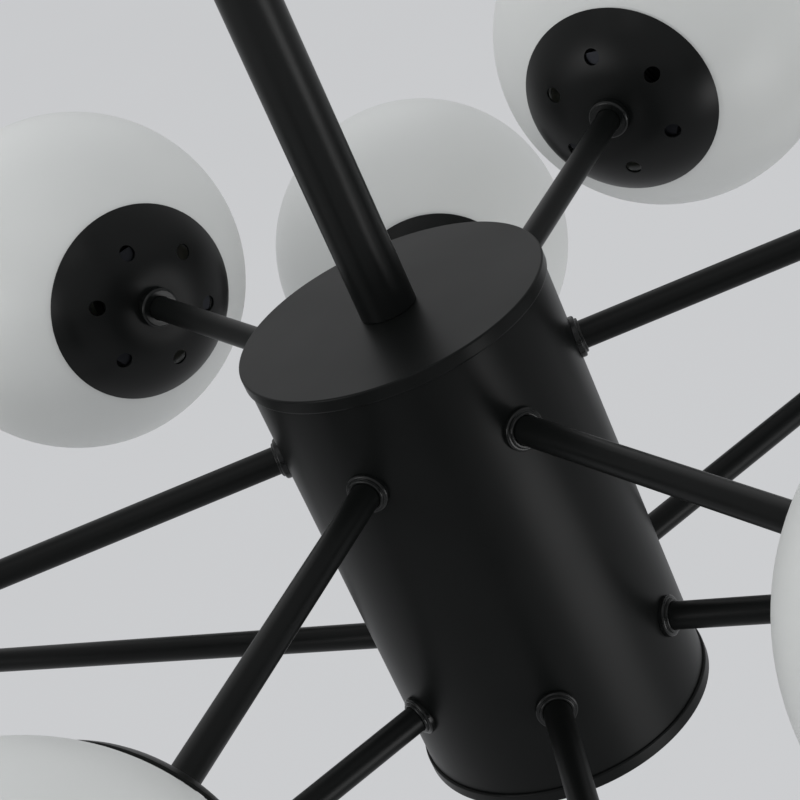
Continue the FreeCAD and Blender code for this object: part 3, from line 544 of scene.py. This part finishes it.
def tinted(tree, value, colour, change):
    """A colour that a noise makes lighter and darker by a share."""
    mix = tree.nodes.new("ShaderNodeMix")
    mix.data_type = "RGBA"
    mix.inputs["A"].default_value = (*[part * (1 - change) for part in colour], 1)
    mix.inputs["B"].default_value = (*[min(1, part * (1 + change)) for part in colour], 1)
    tree.links.new(spread(tree, value, 0, 1), mix.inputs["Factor"])
    return mix.outputs["Result"]


def roughened(tree, shader, value, rough, change):
    """Lets a noise move a shader's roughness up and down."""
    tree.links.new(spread(tree, value, rough - change, rough + change),
                   shader.inputs["Roughness"])


def bumped(tree, shader, value, distance, strength):
    """Lets a noise tilt a shader's surface."""
    node = tree.nodes.new("ShaderNodeBump")
    node.inputs["Distance"].default_value = distance
    node.inputs["Strength"].default_value = strength
    tree.links.new(value, node.inputs["Height"])
    tree.links.new(node.outputs["Normal"], shader.inputs["Normal"])


def seen_share(tree, share):
    """A share for the rays that the camera, a gloss or clear glass sends out, and 0 for others."""
    path = tree.nodes.new("ShaderNodeLightPath")
    total = path.outputs["Is Camera Ray"]
    for ray in ("Is Glossy Ray", "Is Transmission Ray"):
        either = tree.nodes.new("ShaderNodeMath")
        either.operation = "MAXIMUM"
        tree.links.new(total, either.inputs[0])
        tree.links.new(path.outputs[ray], either.inputs[1])
        total = either.outputs["Value"]
    part = tree.nodes.new("ShaderNodeMath")
    part.operation = "MULTIPLY"
    part.inputs[1].default_value = share
    tree.links.new(total, part.inputs[0])
    return part.outputs["Value"]


def powder_coat(name, colour, rough, gloss):
    """Satin powder coat: a fine orange peel, and a faint cloudiness in its sheen."""
    material, tree, shader, place = new_material(name)
    cloud = noise(tree, place, scale=28, detail=3)
    peel = noise(tree, place, scale=1400, detail=1)
    tree.links.new(tinted(tree, cloud, colour, change=0.10), shader.inputs["Base Color"])
    roughened(tree, shader, cloud, rough, change=0.025)
    shader.inputs["Specular IOR Level"].default_value = gloss
    bumped(tree, shader, peel, distance=0.02 * MM, strength=0.35)
    return material


def opal_glass(name, colour):
    """Blown opal glass with a satin etch: pale right through, with faint cords in the glass."""
    material, tree, shader, place = new_material(name)
    cords = noise(tree, place, scale=9, detail=2, stretch=(1, 1, 2.4))
    etch = noise(tree, place, scale=2600, detail=2)
    tree.links.new(tinted(tree, cords, colour, change=0.02), shader.inputs["Base Color"])
    roughened(tree, shader, etch, rough=0.45, change=0.05)
    shader.inputs["Subsurface Weight"].default_value = 0.1
    shader.inputs["Subsurface Radius"].default_value = (1.0, 1.0, 0.95)
    shader.inputs["Subsurface Scale"].default_value = 6 * MM
    shader.inputs["IOR"].default_value = 1.5
    bumped(tree, shader, etch, distance=0.01 * MM, strength=0.15)
    return material


def metal(name, colour, rough, lines, stretch=None):
    """Plain or plated steel, with fine lines left by its making, counted in a metre."""
    material, tree, shader, place = new_material(name)
    grain = noise(tree, place, lines, detail=3, stretch=stretch)
    blotch = noise(tree, place, scale=120, detail=3)
    tree.links.new(tinted(tree, blotch, colour, change=0.10), shader.inputs["Base Color"])
    roughened(tree, shader, grain, rough, change=0.07)
    shader.inputs["Metallic"].default_value = 1.0
    bumped(tree, shader, grain, distance=0.02 * MM, strength=0.2)
    return material


def moulded(name, colour, rough, grains):
    """Moulded plastic with a fine mould grain, counted in a metre."""
    material, tree, shader, place = new_material(name)
    grain = noise(tree, place, grains, detail=2)
    tree.links.new(tinted(tree, grain, colour, change=0.05), shader.inputs["Base Color"])
    roughened(tree, shader, grain, rough, change=0.05)
    bumped(tree, shader, grain, distance=0.03 * MM, strength=0.2)
    return material


FINISHES = {}


def make_finishes():
    """Fills FINISHES with one material for each finish."""
    _, colours, _ = settings()
    coats = (
        ("coat", "Satin black coat", 0.37, 0.105),
        ("dish coat", "Satin black dish coat", 0.36, 0.16),
        ("stem coat", "Satin black stem coat", 0.34, 0.20),
        ("arm coat", "Satin black arm coat", 0.36, 0.11),
        ("bead coat", "Glossier black coat", 0.24, 0.24),
    )
    for finish, name, rough, gloss in coats:
        FINISHES[finish] = powder_coat(name, colours.black_coat, rough, gloss)
    FINISHES["opal"] = opal_glass("Satin opal glass", colours.opal_glass)
    FINISHES["zinc"] = metal("Zinc plate", colours.zinc, rough=0.38, lines=300)
    FINISHES["steel"] = metal("Turned steel", colours.steel, rough=0.32, lines=900,
                              stretch=(0.15, 1, 1))
    FINISHES["spring"] = metal("Blued spring steel", colours.spring, rough=0.36, lines=700)
    plastics = (
        ("terminal", "Terminal plastic", colours.terminal, 0.5, 900),
        ("holder", "Lampholder plastic", colours.holder, 0.48, 1300),
        ("bulb", "Opal bulb shell", colours.bulb, 0.35, 1800),
    )
    for finish, name, colour, rough, grains in plastics:
        FINISHES[finish] = moulded(name, colour, rough, grains)


# ---------------------------------------------------------------- operators, one for each group


class CHANDELIER_OT_canopy(Operator):
    """Make the canopy cover and its knurled side screws, and finish the ceiling hardware"""

    bl_idname = "chandelier.canopy"
    bl_label = "Canopy"

    def execute(self, context):
        sizes, _, _ = settings()
        cover = moved(self.cover(sizes), Matrix.Translation((0, 0, COVER_LOW.z)))
        piece("canopy_cover_coated", cover, FINISHES["coat"], "ceiling",
              ["canopy_cover"])
        piece("canopy_hand_screws", self.screws(sizes), FINISHES["coat"], "ceiling",
              ["canopy_screws"])
        dress(["ceiling_bracket"], FINISHES["zinc"])
        dress(["canopy_nipple", "nipple_nuts"], FINISHES["steel"])
        dress(["terminal_block"], FINISHES["terminal"])
        return {"FINISHED"}

    def cover(self, sizes):
        """A shallow cup, open upwards, with a hole that the swivel's fork turns in."""
        fork_low, fork_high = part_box("swivel_fork")
        fork_play = 0.7 * MM
        hole = (fork_high.x - fork_low.x) / 2 + fork_play
        height = COVER_HIGH.z - COVER_LOW.z
        wall = sizes.cover_wall
        return turned([
            (hole, 0, sizes.sheet_edge),
            (COVER_RADIUS, 0, sizes.cover_corner),
            (COVER_RADIUS, height, sizes.sheet_edge),
            (COVER_RADIUS - wall, height),
            (COVER_RADIUS - wall, wall, sizes.cover_corner - wall),
            (hole, wall),
        ], sizes.hub_steps)

    def screws(self, sizes):
        """Two screws, each a shank with a knurled head."""
        low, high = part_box("canopy_screws")
        level = (low.z + high.z) / 2
        head_radius = (high.z - low.z) / 2
        flank = COVER_RADIUS + sizes.fit
        shank_radius, shank_length = 2 * MM, 7 * MM
        valley_share = 0.94
        shank = turned([
            (0, -shank_length),
            (shank_radius, -shank_length, sizes.plain_edge),
            (shank_radius, 0),
            (0, 0),
        ], sizes.screw_steps, on_axis=True)
        grip = bmesh.new()
        bmesh.ops.create_circle(
            grip, cap_ends=True, segments=2 * sizes.knurls, radius=head_radius)
        for vert in list(grip.verts)[::2]:
            vert.co *= valley_share
        raised = verts_of(bmesh.ops.extrude_face_region(grip, geom=grip.faces[:]))
        bmesh.ops.translate(grip, verts=raised, vec=(0, 0, high.x - flank))
        soften(cleaned(grip), sizes.tube_edge)
        places = []
        for out in (Vector((1, 0, 0)), Vector((-1, 0, 0))):
            place = Matrix((UP, out.cross(UP), out)).transposed().to_4x4()
            place.translation = out * flank + Vector((0, 0, level))
            places += [(shank, place), (grip, place)]
        return joined(places)


class CHANDELIER_OT_swivel(Operator):
    """Finish the swivel's fork, pin and knuckle"""

    bl_idname = "chandelier.swivel"
    bl_label = "Swivel"

    def execute(self, context):
        dress(["swivel_fork", "swivel_knuckle", "swivel_pin"], FINISHES["coat"])
        return {"FINISHED"}


class CHANDELIER_OT_stem(Operator):
    """Make the stem tube, and finish its plug and the tie rod"""

    bl_idname = "chandelier.stem"
    bl_label = "Stem"

    def execute(self, context):
        sizes, _, _ = settings()
        stem = moved(self.tube(sizes), Matrix.Translation((0, 0, STEM_LOW.z)))
        piece("stem_coated", stem, FINISHES["stem coat"], "chandelier",
              ["stem_tube"])
        dress(["stem_plug", "tie_rod"], FINISHES["steel"])
        return {"FINISHED"}

    def tube(self, sizes):
        """The stem, its lower end on local Z = 0."""
        length = STEM_HIGH.z - STEM_LOW.z
        inner = STEM_RADIUS - sizes.stem_wall
        return turned([
            (inner, 0),
            (STEM_RADIUS, 0, sizes.tube_edge),
            (STEM_RADIUS, length, sizes.tube_edge),
            (inner, length),
        ], sizes.tube_steps)


class CHANDELIER_OT_hub(Operator):
    """Make the drilled hub tube, its two caps and the finial"""

    bl_idname = "chandelier.hub"
    bl_label = "Hub"

    def execute(self, context):
        sizes, _, _ = settings()
        turn_over = Matrix.Rotation(math.pi, 4, "X")
        lid = moved(self.cap(sizes), Matrix.Translation((0, 0, LID_HIGH.z)) @ turn_over)
        piece("hub_lid_coated", lid, FINISHES["coat"], "chandelier", ["hub_lid"])
        base = moved(self.cap(sizes), Matrix.Translation((0, 0, BASE_LOW.z)))
        piece("hub_base_coated", base, FINISHES["coat"], "chandelier",
              ["hub_base"])
        piece("hub_tube_coated", self.tube(sizes), FINISHES["coat"], "chandelier",
              ["hub_tube"])
        finial = moved(self.finial(sizes), Matrix.Translation((0, 0, FINIAL_LOW.z)))
        piece("base_finial_coated", finial, FINISHES["coat"], "chandelier",
              ["base_finial"])
        dress(["lid_washer", "lock_nuts"], FINISHES["steel"])
        return {"FINISHED"}

    def cap(self, sizes):
        """A flat cap with a short skirt, its outside on local Z = 0."""
        inner = HUB_RADIUS + sizes.fit
        skirt = LID_HIGH.z - LID_LOW.z
        hole = ARM_RADIUS + sizes.fit  # the tie rod is as thick as an arm
        return turned([
            (hole, 0),
            (LID_RADIUS, 0, sizes.cap_edge),
            (LID_RADIUS, skirt, sizes.skirt_edge),
            (inner, skirt),
            (inner, sizes.cap_plate),
            (hole, sizes.cap_plate),
        ], sizes.hub_steps)

    def tube(self, sizes):
        """The drum, with a round hole for each arm."""
        bm = sheet((HUB_RADIUS, 0, HUB_LOW.z), (HUB_RADIUS, 0, HUB_HIGH.z), sizes.drum_rows,
                   sizes.drum_steps)
        for _, out, centre, _ in LAMPS:
            place = arm_place(out, centre)
            place.translation += out * HUB_RADIUS
            for vert in punch(bm, place, ARM_RADIUS + sizes.fit, reach=7 * MM):
                side = (vert.co - place.translation).dot(out.cross(UP))
                along = math.sqrt(HUB_RADIUS ** 2 - side ** 2) - HUB_RADIUS
                vert.co += out * along
        bmesh.ops.recalc_face_normals(bm, faces=bm.faces)
        return thicken(bm, sizes.hub_wall)

    def finial(self, sizes):
        """A round-nosed cup that screws onto the tie rod, its nose on local Z = 0."""
        height = FINIAL_HIGH.z - FINIAL_LOW.z
        hole, depth = ARM_RADIUS + sizes.fit, 7 * MM
        return turned([
            (0, 0),
            (FINIAL_RADIUS, 0, sizes.finial_nose),
            (FINIAL_RADIUS, height, sizes.plain_edge),
            (hole, height),
            (hole, height - depth),
            (0, height - depth),
        ], sizes.tube_steps, on_axis=True)


class CHANDELIER_OT_arms(Operator):
    """Make the arms, with their hub collars and the ferrules behind the dishes"""

    bl_idname = "chandelier.arms"
    bl_label = "Arms"

    def execute(self, context):
        sizes, _, _ = settings()
        collar, ferrule = self.collar(sizes), self.ferrule(sizes)
        collars, ferrules = [], []
        for lamp, out, centre, _ in LAMPS:
            dish_face = centre.to_2d().length - GLOBE_OFFSET
            arm = moved(self.tube(sizes, dish_face + ARM_SEAT), arm_place(out, centre))
            piece(f"arm_{lamp}_coated", arm, FINISHES["arm coat"], "chandelier",
                  [f"arm_{lamp}"])
            collars.append((collar, arm_place(out, centre)))
            ferrules.append((ferrule, lamp_place(out, centre)))
        piece("arm_collars_coated", joined(collars), FINISHES["bead coat"], "chandelier",
              ["arm_collars"])
        piece("dish_ferrules_coated", joined(ferrules), FINISHES["bead coat"], "chandelier",
              ["dish_ferrules"])
        return {"FINISHED"}

    def tube(self, sizes, end):
        """One arm, from inside the hub to inside its lampholder."""
        inner = ARM_RADIUS - sizes.arm_wall
        return turned([
            (inner, ARM_START),
            (ARM_RADIUS, ARM_START, sizes.thin_edge),
            (ARM_RADIUS, end, sizes.thin_edge),
            (inner, end),
        ], sizes.arm_steps)

    def collar(self, sizes):
        """A flange with a raised bead, its back shaped to the drum."""
        hole = ARM_RADIUS + sizes.fit
        seat = HUB_RADIUS + sizes.fit
        front = seat + sizes.collar_thickness
        bm = turned([
            (hole, seat),
            (sizes.collar_radius, seat),
            (sizes.collar_radius, front, sizes.collar_edge),
            (sizes.bead_radius, front, sizes.bead_root),
            (sizes.bead_radius, front + sizes.bead_height, sizes.bead_edge),
            (hole, front + sizes.bead_height, sizes.thin_edge),
        ], sizes.fitting_steps)
        for vert in bm.verts:
            if abs(vert.co.z - seat) < MERGE:
                vert.co.z = math.sqrt(seat ** 2 - vert.co.y ** 2)
        return bm

    def ferrule(self, sizes):
        """A short ring with a rounded back, against the dish."""
        hole = ARM_RADIUS + sizes.fit
        front = -sizes.fit
        back = front - sizes.ferrule_length
        return turned([
            (hole, back, sizes.thin_edge),
            (sizes.ferrule_radius, back, sizes.ferrule_edge),
            (sizes.ferrule_radius, front, sizes.thin_edge),
            (hole, front),
        ], sizes.fitting_steps)


class CHANDELIER_OT_dishes(Operator):
    """Make the vented dishes"""

    bl_idname = "chandelier.dishes"
    bl_label = "Dishes"

    def execute(self, context):
        sizes, _, _ = settings()
        dish = self.dish(sizes)
        for lamp, out, centre, _ in LAMPS:
            bm = joined([(dish, lamp_place(out, centre))])
            piece(f"dish_{lamp}_coated", bm, FINISHES["dish coat"], "chandelier",
                  [f"dish_{lamp}"])
        return {"FINISHED"}

    def dish(self, sizes):
        """A sheet with vents, pressed to the dish's curve and given its thickness."""
        bm = sheet((ARM_RADIUS + sizes.fit, 0, 0), (DISH_RADIUS, 0, 0), sizes.dish_rows,
                   sizes.dish_steps)
        for vent in range(sizes.vents):
            turn = Matrix.Rotation(FULL * vent / sizes.vents, 4, "Z")
            place = turn @ Matrix.Translation((sizes.vent_circle, 0, 0))
            punch(bm, place, sizes.vent_radius, reach=4.6 * MM)
        width = DISH_RADIUS - sizes.dish_flat
        curve = (width ** 2 + sizes.dish_depth ** 2) / (2 * sizes.dish_depth)
        for vert in bm.verts:
            beyond = max(0, vert.co.to_2d().length - sizes.dish_flat)
            vert.co.z = curve - math.sqrt(curve ** 2 - beyond ** 2)
        # an open sheet has no outside, so its faces are turned towards the hub
        bmesh.ops.recalc_face_normals(bm, faces=bm.faces)
        if sum(face.normal.z for face in bm.faces) > 0:
            bmesh.ops.reverse_faces(bm, faces=bm.faces)
        thicken(bm, sizes.dish_wall)
        return soften(bm, sizes.thin_edge)


class CHANDELIER_OT_globes(Operator):
    """Make the blown opal globes"""

    bl_idname = "chandelier.globes"
    bl_label = "Globes"

    def execute(self, context):
        sizes, _, _ = settings()
        globe = self.globe(sizes)
        for lamp, out, centre, body in LAMPS:
            place = lamp_place(out, centre)
            place.translation = centre
            bm = joined([(globe, place)])
            piece(f"globe_{lamp}_opal", bm, FINISHES["opal"], body,
                  [f"globe_{lamp}"])
        return {"FINISHED"}

    def globe(self, sizes):
        """A hollow ball with a fire-polished mouth towards the hub."""
        mouth = -math.sqrt(GLOBE_RADIUS ** 2 - sizes.mouth_radius ** 2)
        bm = cleaned(open_ball(GLOBE_RADIUS, sizes.globe_steps, sizes.globe_rows, mouth))
        thicken(bm, sizes.globe_wall)
        return soften(bm, sizes.mouth_edge, segments=4)


class CHANDELIER_OT_lampholders(Operator):
    """Make the lampholders, and finish the globe springs"""

    bl_idname = "chandelier.lampholders"
    bl_label = "Lampholders"

    def execute(self, context):
        sizes, _, _ = settings()
        holder = self.holder(sizes)
        places = [(holder, lamp_place(out, centre)) for _, out, centre, _ in LAMPS]
        piece("lampholders_moulded", joined(places), FINISHES["holder"], "chandelier",
              ["lampholders"])
        dress(["globe_springs"], FINISHES["spring"])
        return {"FINISHED"}

    def holder(self, sizes):
        """A moulded socket with a narrow foot and four grip grooves."""
        face, radius = HOLDER_FACE, sizes.holder_radius
        end = face + sizes.holder_length
        end_play = 0.1 * MM
        bore, bore_depth = ARM_RADIUS + sizes.fit, ARM_ENTRY + end_play
        foot, foot_height, shoulder = 9 * MM, 5 * MM, 8.5 * MM
        body_edge = 0.8 * MM
        socket, socket_depth = 7.15 * MM, 18 * MM
        corners = [
            (0, face + bore_depth),
            (bore, face + bore_depth),
            (bore, face),
            (foot, face, sizes.plain_edge),
            (foot, face + foot_height),
            (radius, face + shoulder, body_edge),
        ]
        groove = ((0, 0), (0.4, 0.5), (1.2, 0.5), (1.6, 0))  # mm along and into the holder
        groove_levels = (12, 15, 18, 21)  # mm from the holder's face
        for level in groove_levels:
            start = face + level * MM
            corners += [(radius - depth * MM, start + along * MM) for along, depth in groove]
        corners += [
            (radius, end, body_edge),
            (socket, end, sizes.sheet_edge),
            (socket, end - socket_depth),
            (0, end - socket_depth),
        ]
        return turned(corners, sizes.fitting_steps, on_axis=True)


class CHANDELIER_OT_bulbs(Operator):
    """Make the golf-ball bulbs, each a shell on a threaded cap"""

    bl_idname = "chandelier.bulbs"
    bl_label = "Bulbs"

    def execute(self, context):
        sizes, _, _ = settings()
        shell, cap = self.shell(sizes), self.cap(sizes)
        places = [lamp_place(out, centre) for _, out, centre, _ in LAMPS]
        piece("bulb_shells", joined([(shell, place) for place in places]), FINISHES["bulb"],
              "chandelier", ["bulbs"])
        piece("bulb_caps", joined([(cap, place) for place in places]), FINISHES["steel"],
              "chandelier")
        return {"FINISHED"}

    def levels(self, sizes):
        """Where the cap starts, where the neck starts and where the bulb ends."""
        screwed_in, cap_length = 16 * MM, 18 * MM
        start = HOLDER_FACE + sizes.holder_length - screwed_in
        return start, start + cap_length, start + sizes.bulb_length

    def shell(self, sizes):
        """A neck that flares into a ball."""
        _, neck, end = self.levels(sizes)
        neck_radius = 9 * MM
        ball_end = math.radians(20)  # below the ball's middle
        bm = open_ball(sizes.bulb_radius, sizes.bulb_steps, sizes.bulb_rows,
                       -math.sin(ball_end) * sizes.bulb_radius)
        bmesh.ops.translate(bm, verts=bm.verts, vec=(0, 0, end - sizes.bulb_radius))
        cleaned(bm)
        rim = [edge for edge in bm.edges if edge.is_boundary]
        for vert in verts_of(bmesh.ops.extrude_edge_only(bm, edges=rim)):
            vert.co.xy = vert.co.to_2d().normalized() * neck_radius
            vert.co.z = neck
        bmesh.ops.contextual_create(
            bm, geom=[edge for edge in bm.edges if edge.is_boundary])
        return cleaned(bm)

    def cap(self, sizes):
        """A screw cap with rolled threads and a contact."""
        start, neck, _ = self.levels(sizes)
        contact, contact_edge, contact_height = 3 * MM, 0.5 * MM, 3 * MM
        root, crest, waist = 6.2 * MM, 6.9 * MM, 6.6 * MM
        threads, pitch, crest_share = 4, 2.8 * MM, 0.45
        first_thread, skirt = 3.2 * MM, 2 * MM
        corners = [(0, start), (contact, start, contact_edge), (root, start + contact_height)]
        for thread in range(threads):
            level = start + first_thread + thread * pitch
            corners += [(root, level), (crest, level + pitch * crest_share, sizes.plain_edge)]
        corners += [(waist, neck - skirt), (crest, neck - sizes.fit), (0, neck - sizes.fit)]
        return turned(corners, sizes.arm_steps, on_axis=True)


class CHANDELIER_OT_stage(Operator):
    """Set up the floor, the studio light and the camera"""

    bl_idname = "chandelier.stage"
    bl_label = "Stage"

    def execute(self, context):
        _, colours, studio = settings()
        self.floor(colours, studio)
        self.world(colours, studio)
        self.lights()
        self.camera(studio)
        context.scene.view_settings.view_transform = "Standard"
        return {"FINISHED"}

    def floor(self, colours, studio):
        """A pale floor that takes shadows, and shows mostly the backdrop's own colour."""
        bm = bmesh.new()
        bmesh.ops.create_grid(bm, x_segments=1, y_segments=1, size=studio.floor_reach)
        mesh = bpy.data.meshes.new("studio_floor")
        bm.to_mesh(mesh)
        bm.free()
        mesh.transform(Matrix.Translation((0, 0, CAD_BOX[0].z - studio.floor_drop)))
        material, tree, shader, place = new_material("Pale floor")
        cloud = noise(tree, place, scale=3, detail=2)
        tree.links.new(tinted(tree, cloud, colours.floor_paint, change=0.01),
                       shader.inputs["Base Color"])
        shader.inputs["Roughness"].default_value = 0.9
        glow = tree.nodes.new("ShaderNodeEmission")
        glow.inputs["Color"].default_value = (*colours.backdrop, 1)
        mix = tree.nodes.new("ShaderNodeMixShader")
        tree.links.new(seen_share(tree, studio.floor_glow), mix.inputs["Fac"])
        tree.links.new(shader.outputs["BSDF"], mix.inputs[1])
        tree.links.new(glow.outputs["Emission"], mix.inputs[2])
        tree.links.new(mix.outputs["Shader"], tree.nodes["Material Output"].inputs["Surface"])
        mesh.materials.append(material)
        obj = bpy.data.objects.new("studio_floor", mesh)
        bpy.context.scene.collection.objects.link(obj)

    def world(self, colours, studio):
        """Even light from all round, which shows as the backdrop's own colour."""
        world = bpy.data.worlds.new("Studio")
        world.use_nodes = True
        tree = world.node_tree
        light = tree.nodes["Background"]
        light.inputs["Color"].default_value = (*colours.daylight, 1)
        light.inputs["Strength"].default_value = studio.ambient
        seen = tree.nodes.new("ShaderNodeBackground")
        seen.inputs["Color"].default_value = (*colours.backdrop, 1)
        mix = tree.nodes.new("ShaderNodeMixShader")
        tree.links.new(seen_share(tree, share=1), mix.inputs["Fac"])
        tree.links.new(light.outputs["Background"], mix.inputs[1])
        tree.links.new(seen.outputs["Background"], mix.inputs[2])
        tree.links.new(mix.outputs["Shader"], tree.nodes["World Output"].inputs["Surface"])
        bpy.context.scene.world = world

    def lights(self):
        """Soft boxes: behind the lamp, low on the right, on the left, and above."""
        aim_height = 0.1  # above the lower end of the hub
        aim = Vector((0, 0, HUB_LOW.z + aim_height))
        # name, azimuth and elevation in degrees, distance and size in metres, power in watts
        boxes = (
            ("back_box", 35, 38, 3.0, 2.6, 8),
            ("right_box", 260, -21, 1.5, 0.8, 9),
            ("left_box", 150, 20, 1.9, 0.8, 7),
            ("top_box", 190, 70, 2.6, 1.6, 5),
        )
        for name, azimuth, elevation, distance, size, power in boxes:
            light = bpy.data.lights.new(name, "AREA")
            light.shape = "SQUARE"
            light.size = size
            light.energy = power
            obj = bpy.data.objects.new(name, light)
            away = self.direction(math.radians(azimuth), math.radians(elevation))
            obj.location = aim + away * distance
            obj.rotation_euler = away.to_track_quat("Z", "Y").to_euler()
            obj.visible_camera = False
            bpy.context.scene.collection.objects.link(obj)

    def camera(self, studio):
        """The photograph's camera, placed about the middle of the lid."""
        camera = bpy.data.cameras.new("Camera")
        camera.lens = studio.lens
        camera.sensor_width = 36
        camera.clip_start = 0.01
        camera.clip_end = 60
        obj = bpy.data.objects.new("Camera", camera)
        away = self.direction(studio.place_azimuth, studio.place_elevation)
        place = Matrix.Translation(Vector((0, 0, LID_HIGH.z)) + away * studio.distance)
        turn = (Matrix.Rotation(studio.heading - math.pi / 2, 4, "Z")
                @ Matrix.Rotation(math.pi / 2 - studio.dip, 4, "X")
                @ Matrix.Rotation(studio.roll, 4, "Z"))
        obj.matrix_world = place @ turn
        bpy.context.scene.collection.objects.link(obj)
        bpy.context.scene.camera = obj

    def direction(self, azimuth, elevation):
        """The way from the stem towards an azimuth and an elevation."""
        flat = math.cos(elevation)
        return Vector((math.cos(azimuth) * flat, math.sin(azimuth) * flat, math.sin(elevation)))


PIECE_OPERATORS = (
    CHANDELIER_OT_canopy,
    CHANDELIER_OT_swivel,
    CHANDELIER_OT_stem,
    CHANDELIER_OT_hub,
    CHANDELIER_OT_arms,
    CHANDELIER_OT_dishes,
    CHANDELIER_OT_globes,
    CHANDELIER_OT_lampholders,
    CHANDELIER_OT_bulbs,
    CHANDELIER_OT_stage,
)


class CHANDELIER_PT_sidebar(Panel):
    """Lists the chandelier's sizes, colours and operators"""

    bl_label = "Chandelier"
    bl_idname = "CHANDELIER_PT_sidebar"
    bl_space_type = "VIEW_3D"
    bl_region_type = "UI"
    bl_category = "Chandelier"

    def draw(self, context):
        for operator in PIECE_OPERATORS:
            self.layout.operator(operator.bl_idname)
        for group in settings():
            box = self.layout.box()
            for name in group.bl_rna.properties.keys():
                if name not in ("rna_type", "name"):
                    box.prop(group, name)


GROUPS = {
    "chandelier_sizes": ChandelierSizes,
    "chandelier_colours": ChandelierColours,
    "chandelier_studio": ChandelierStudio,
}


def register():
    for group in GROUPS.values():
        bpy.utils.register_class(group)
    for name, group in GROUPS.items():
        setattr(bpy.types.Scene, name, PointerProperty(type=group))
    for operator in PIECE_OPERATORS:
        bpy.utils.register_class(operator)
    bpy.utils.register_class(CHANDELIER_PT_sidebar)


def unregister():
    bpy.utils.unregister_class(CHANDELIER_PT_sidebar)
    for operator in reversed(PIECE_OPERATORS):
        bpy.utils.unregister_class(operator)
    for name in GROUPS:
        delattr(bpy.types.Scene, name)
    for group in reversed(list(GROUPS.values())):
        bpy.utils.unregister_class(group)


def main():
    register()
    make_finishes()
    bpy.ops.chandelier.canopy()
    bpy.ops.chandelier.swivel()
    bpy.ops.chandelier.stem()
    bpy.ops.chandelier.hub()
    bpy.ops.chandelier.arms()
    bpy.ops.chandelier.dishes()
    bpy.ops.chandelier.globes()
    bpy.ops.chandelier.lampholders()
    bpy.ops.chandelier.bulbs()
    bpy.ops.chandelier.stage()


if __name__ == "__main__":
    main()
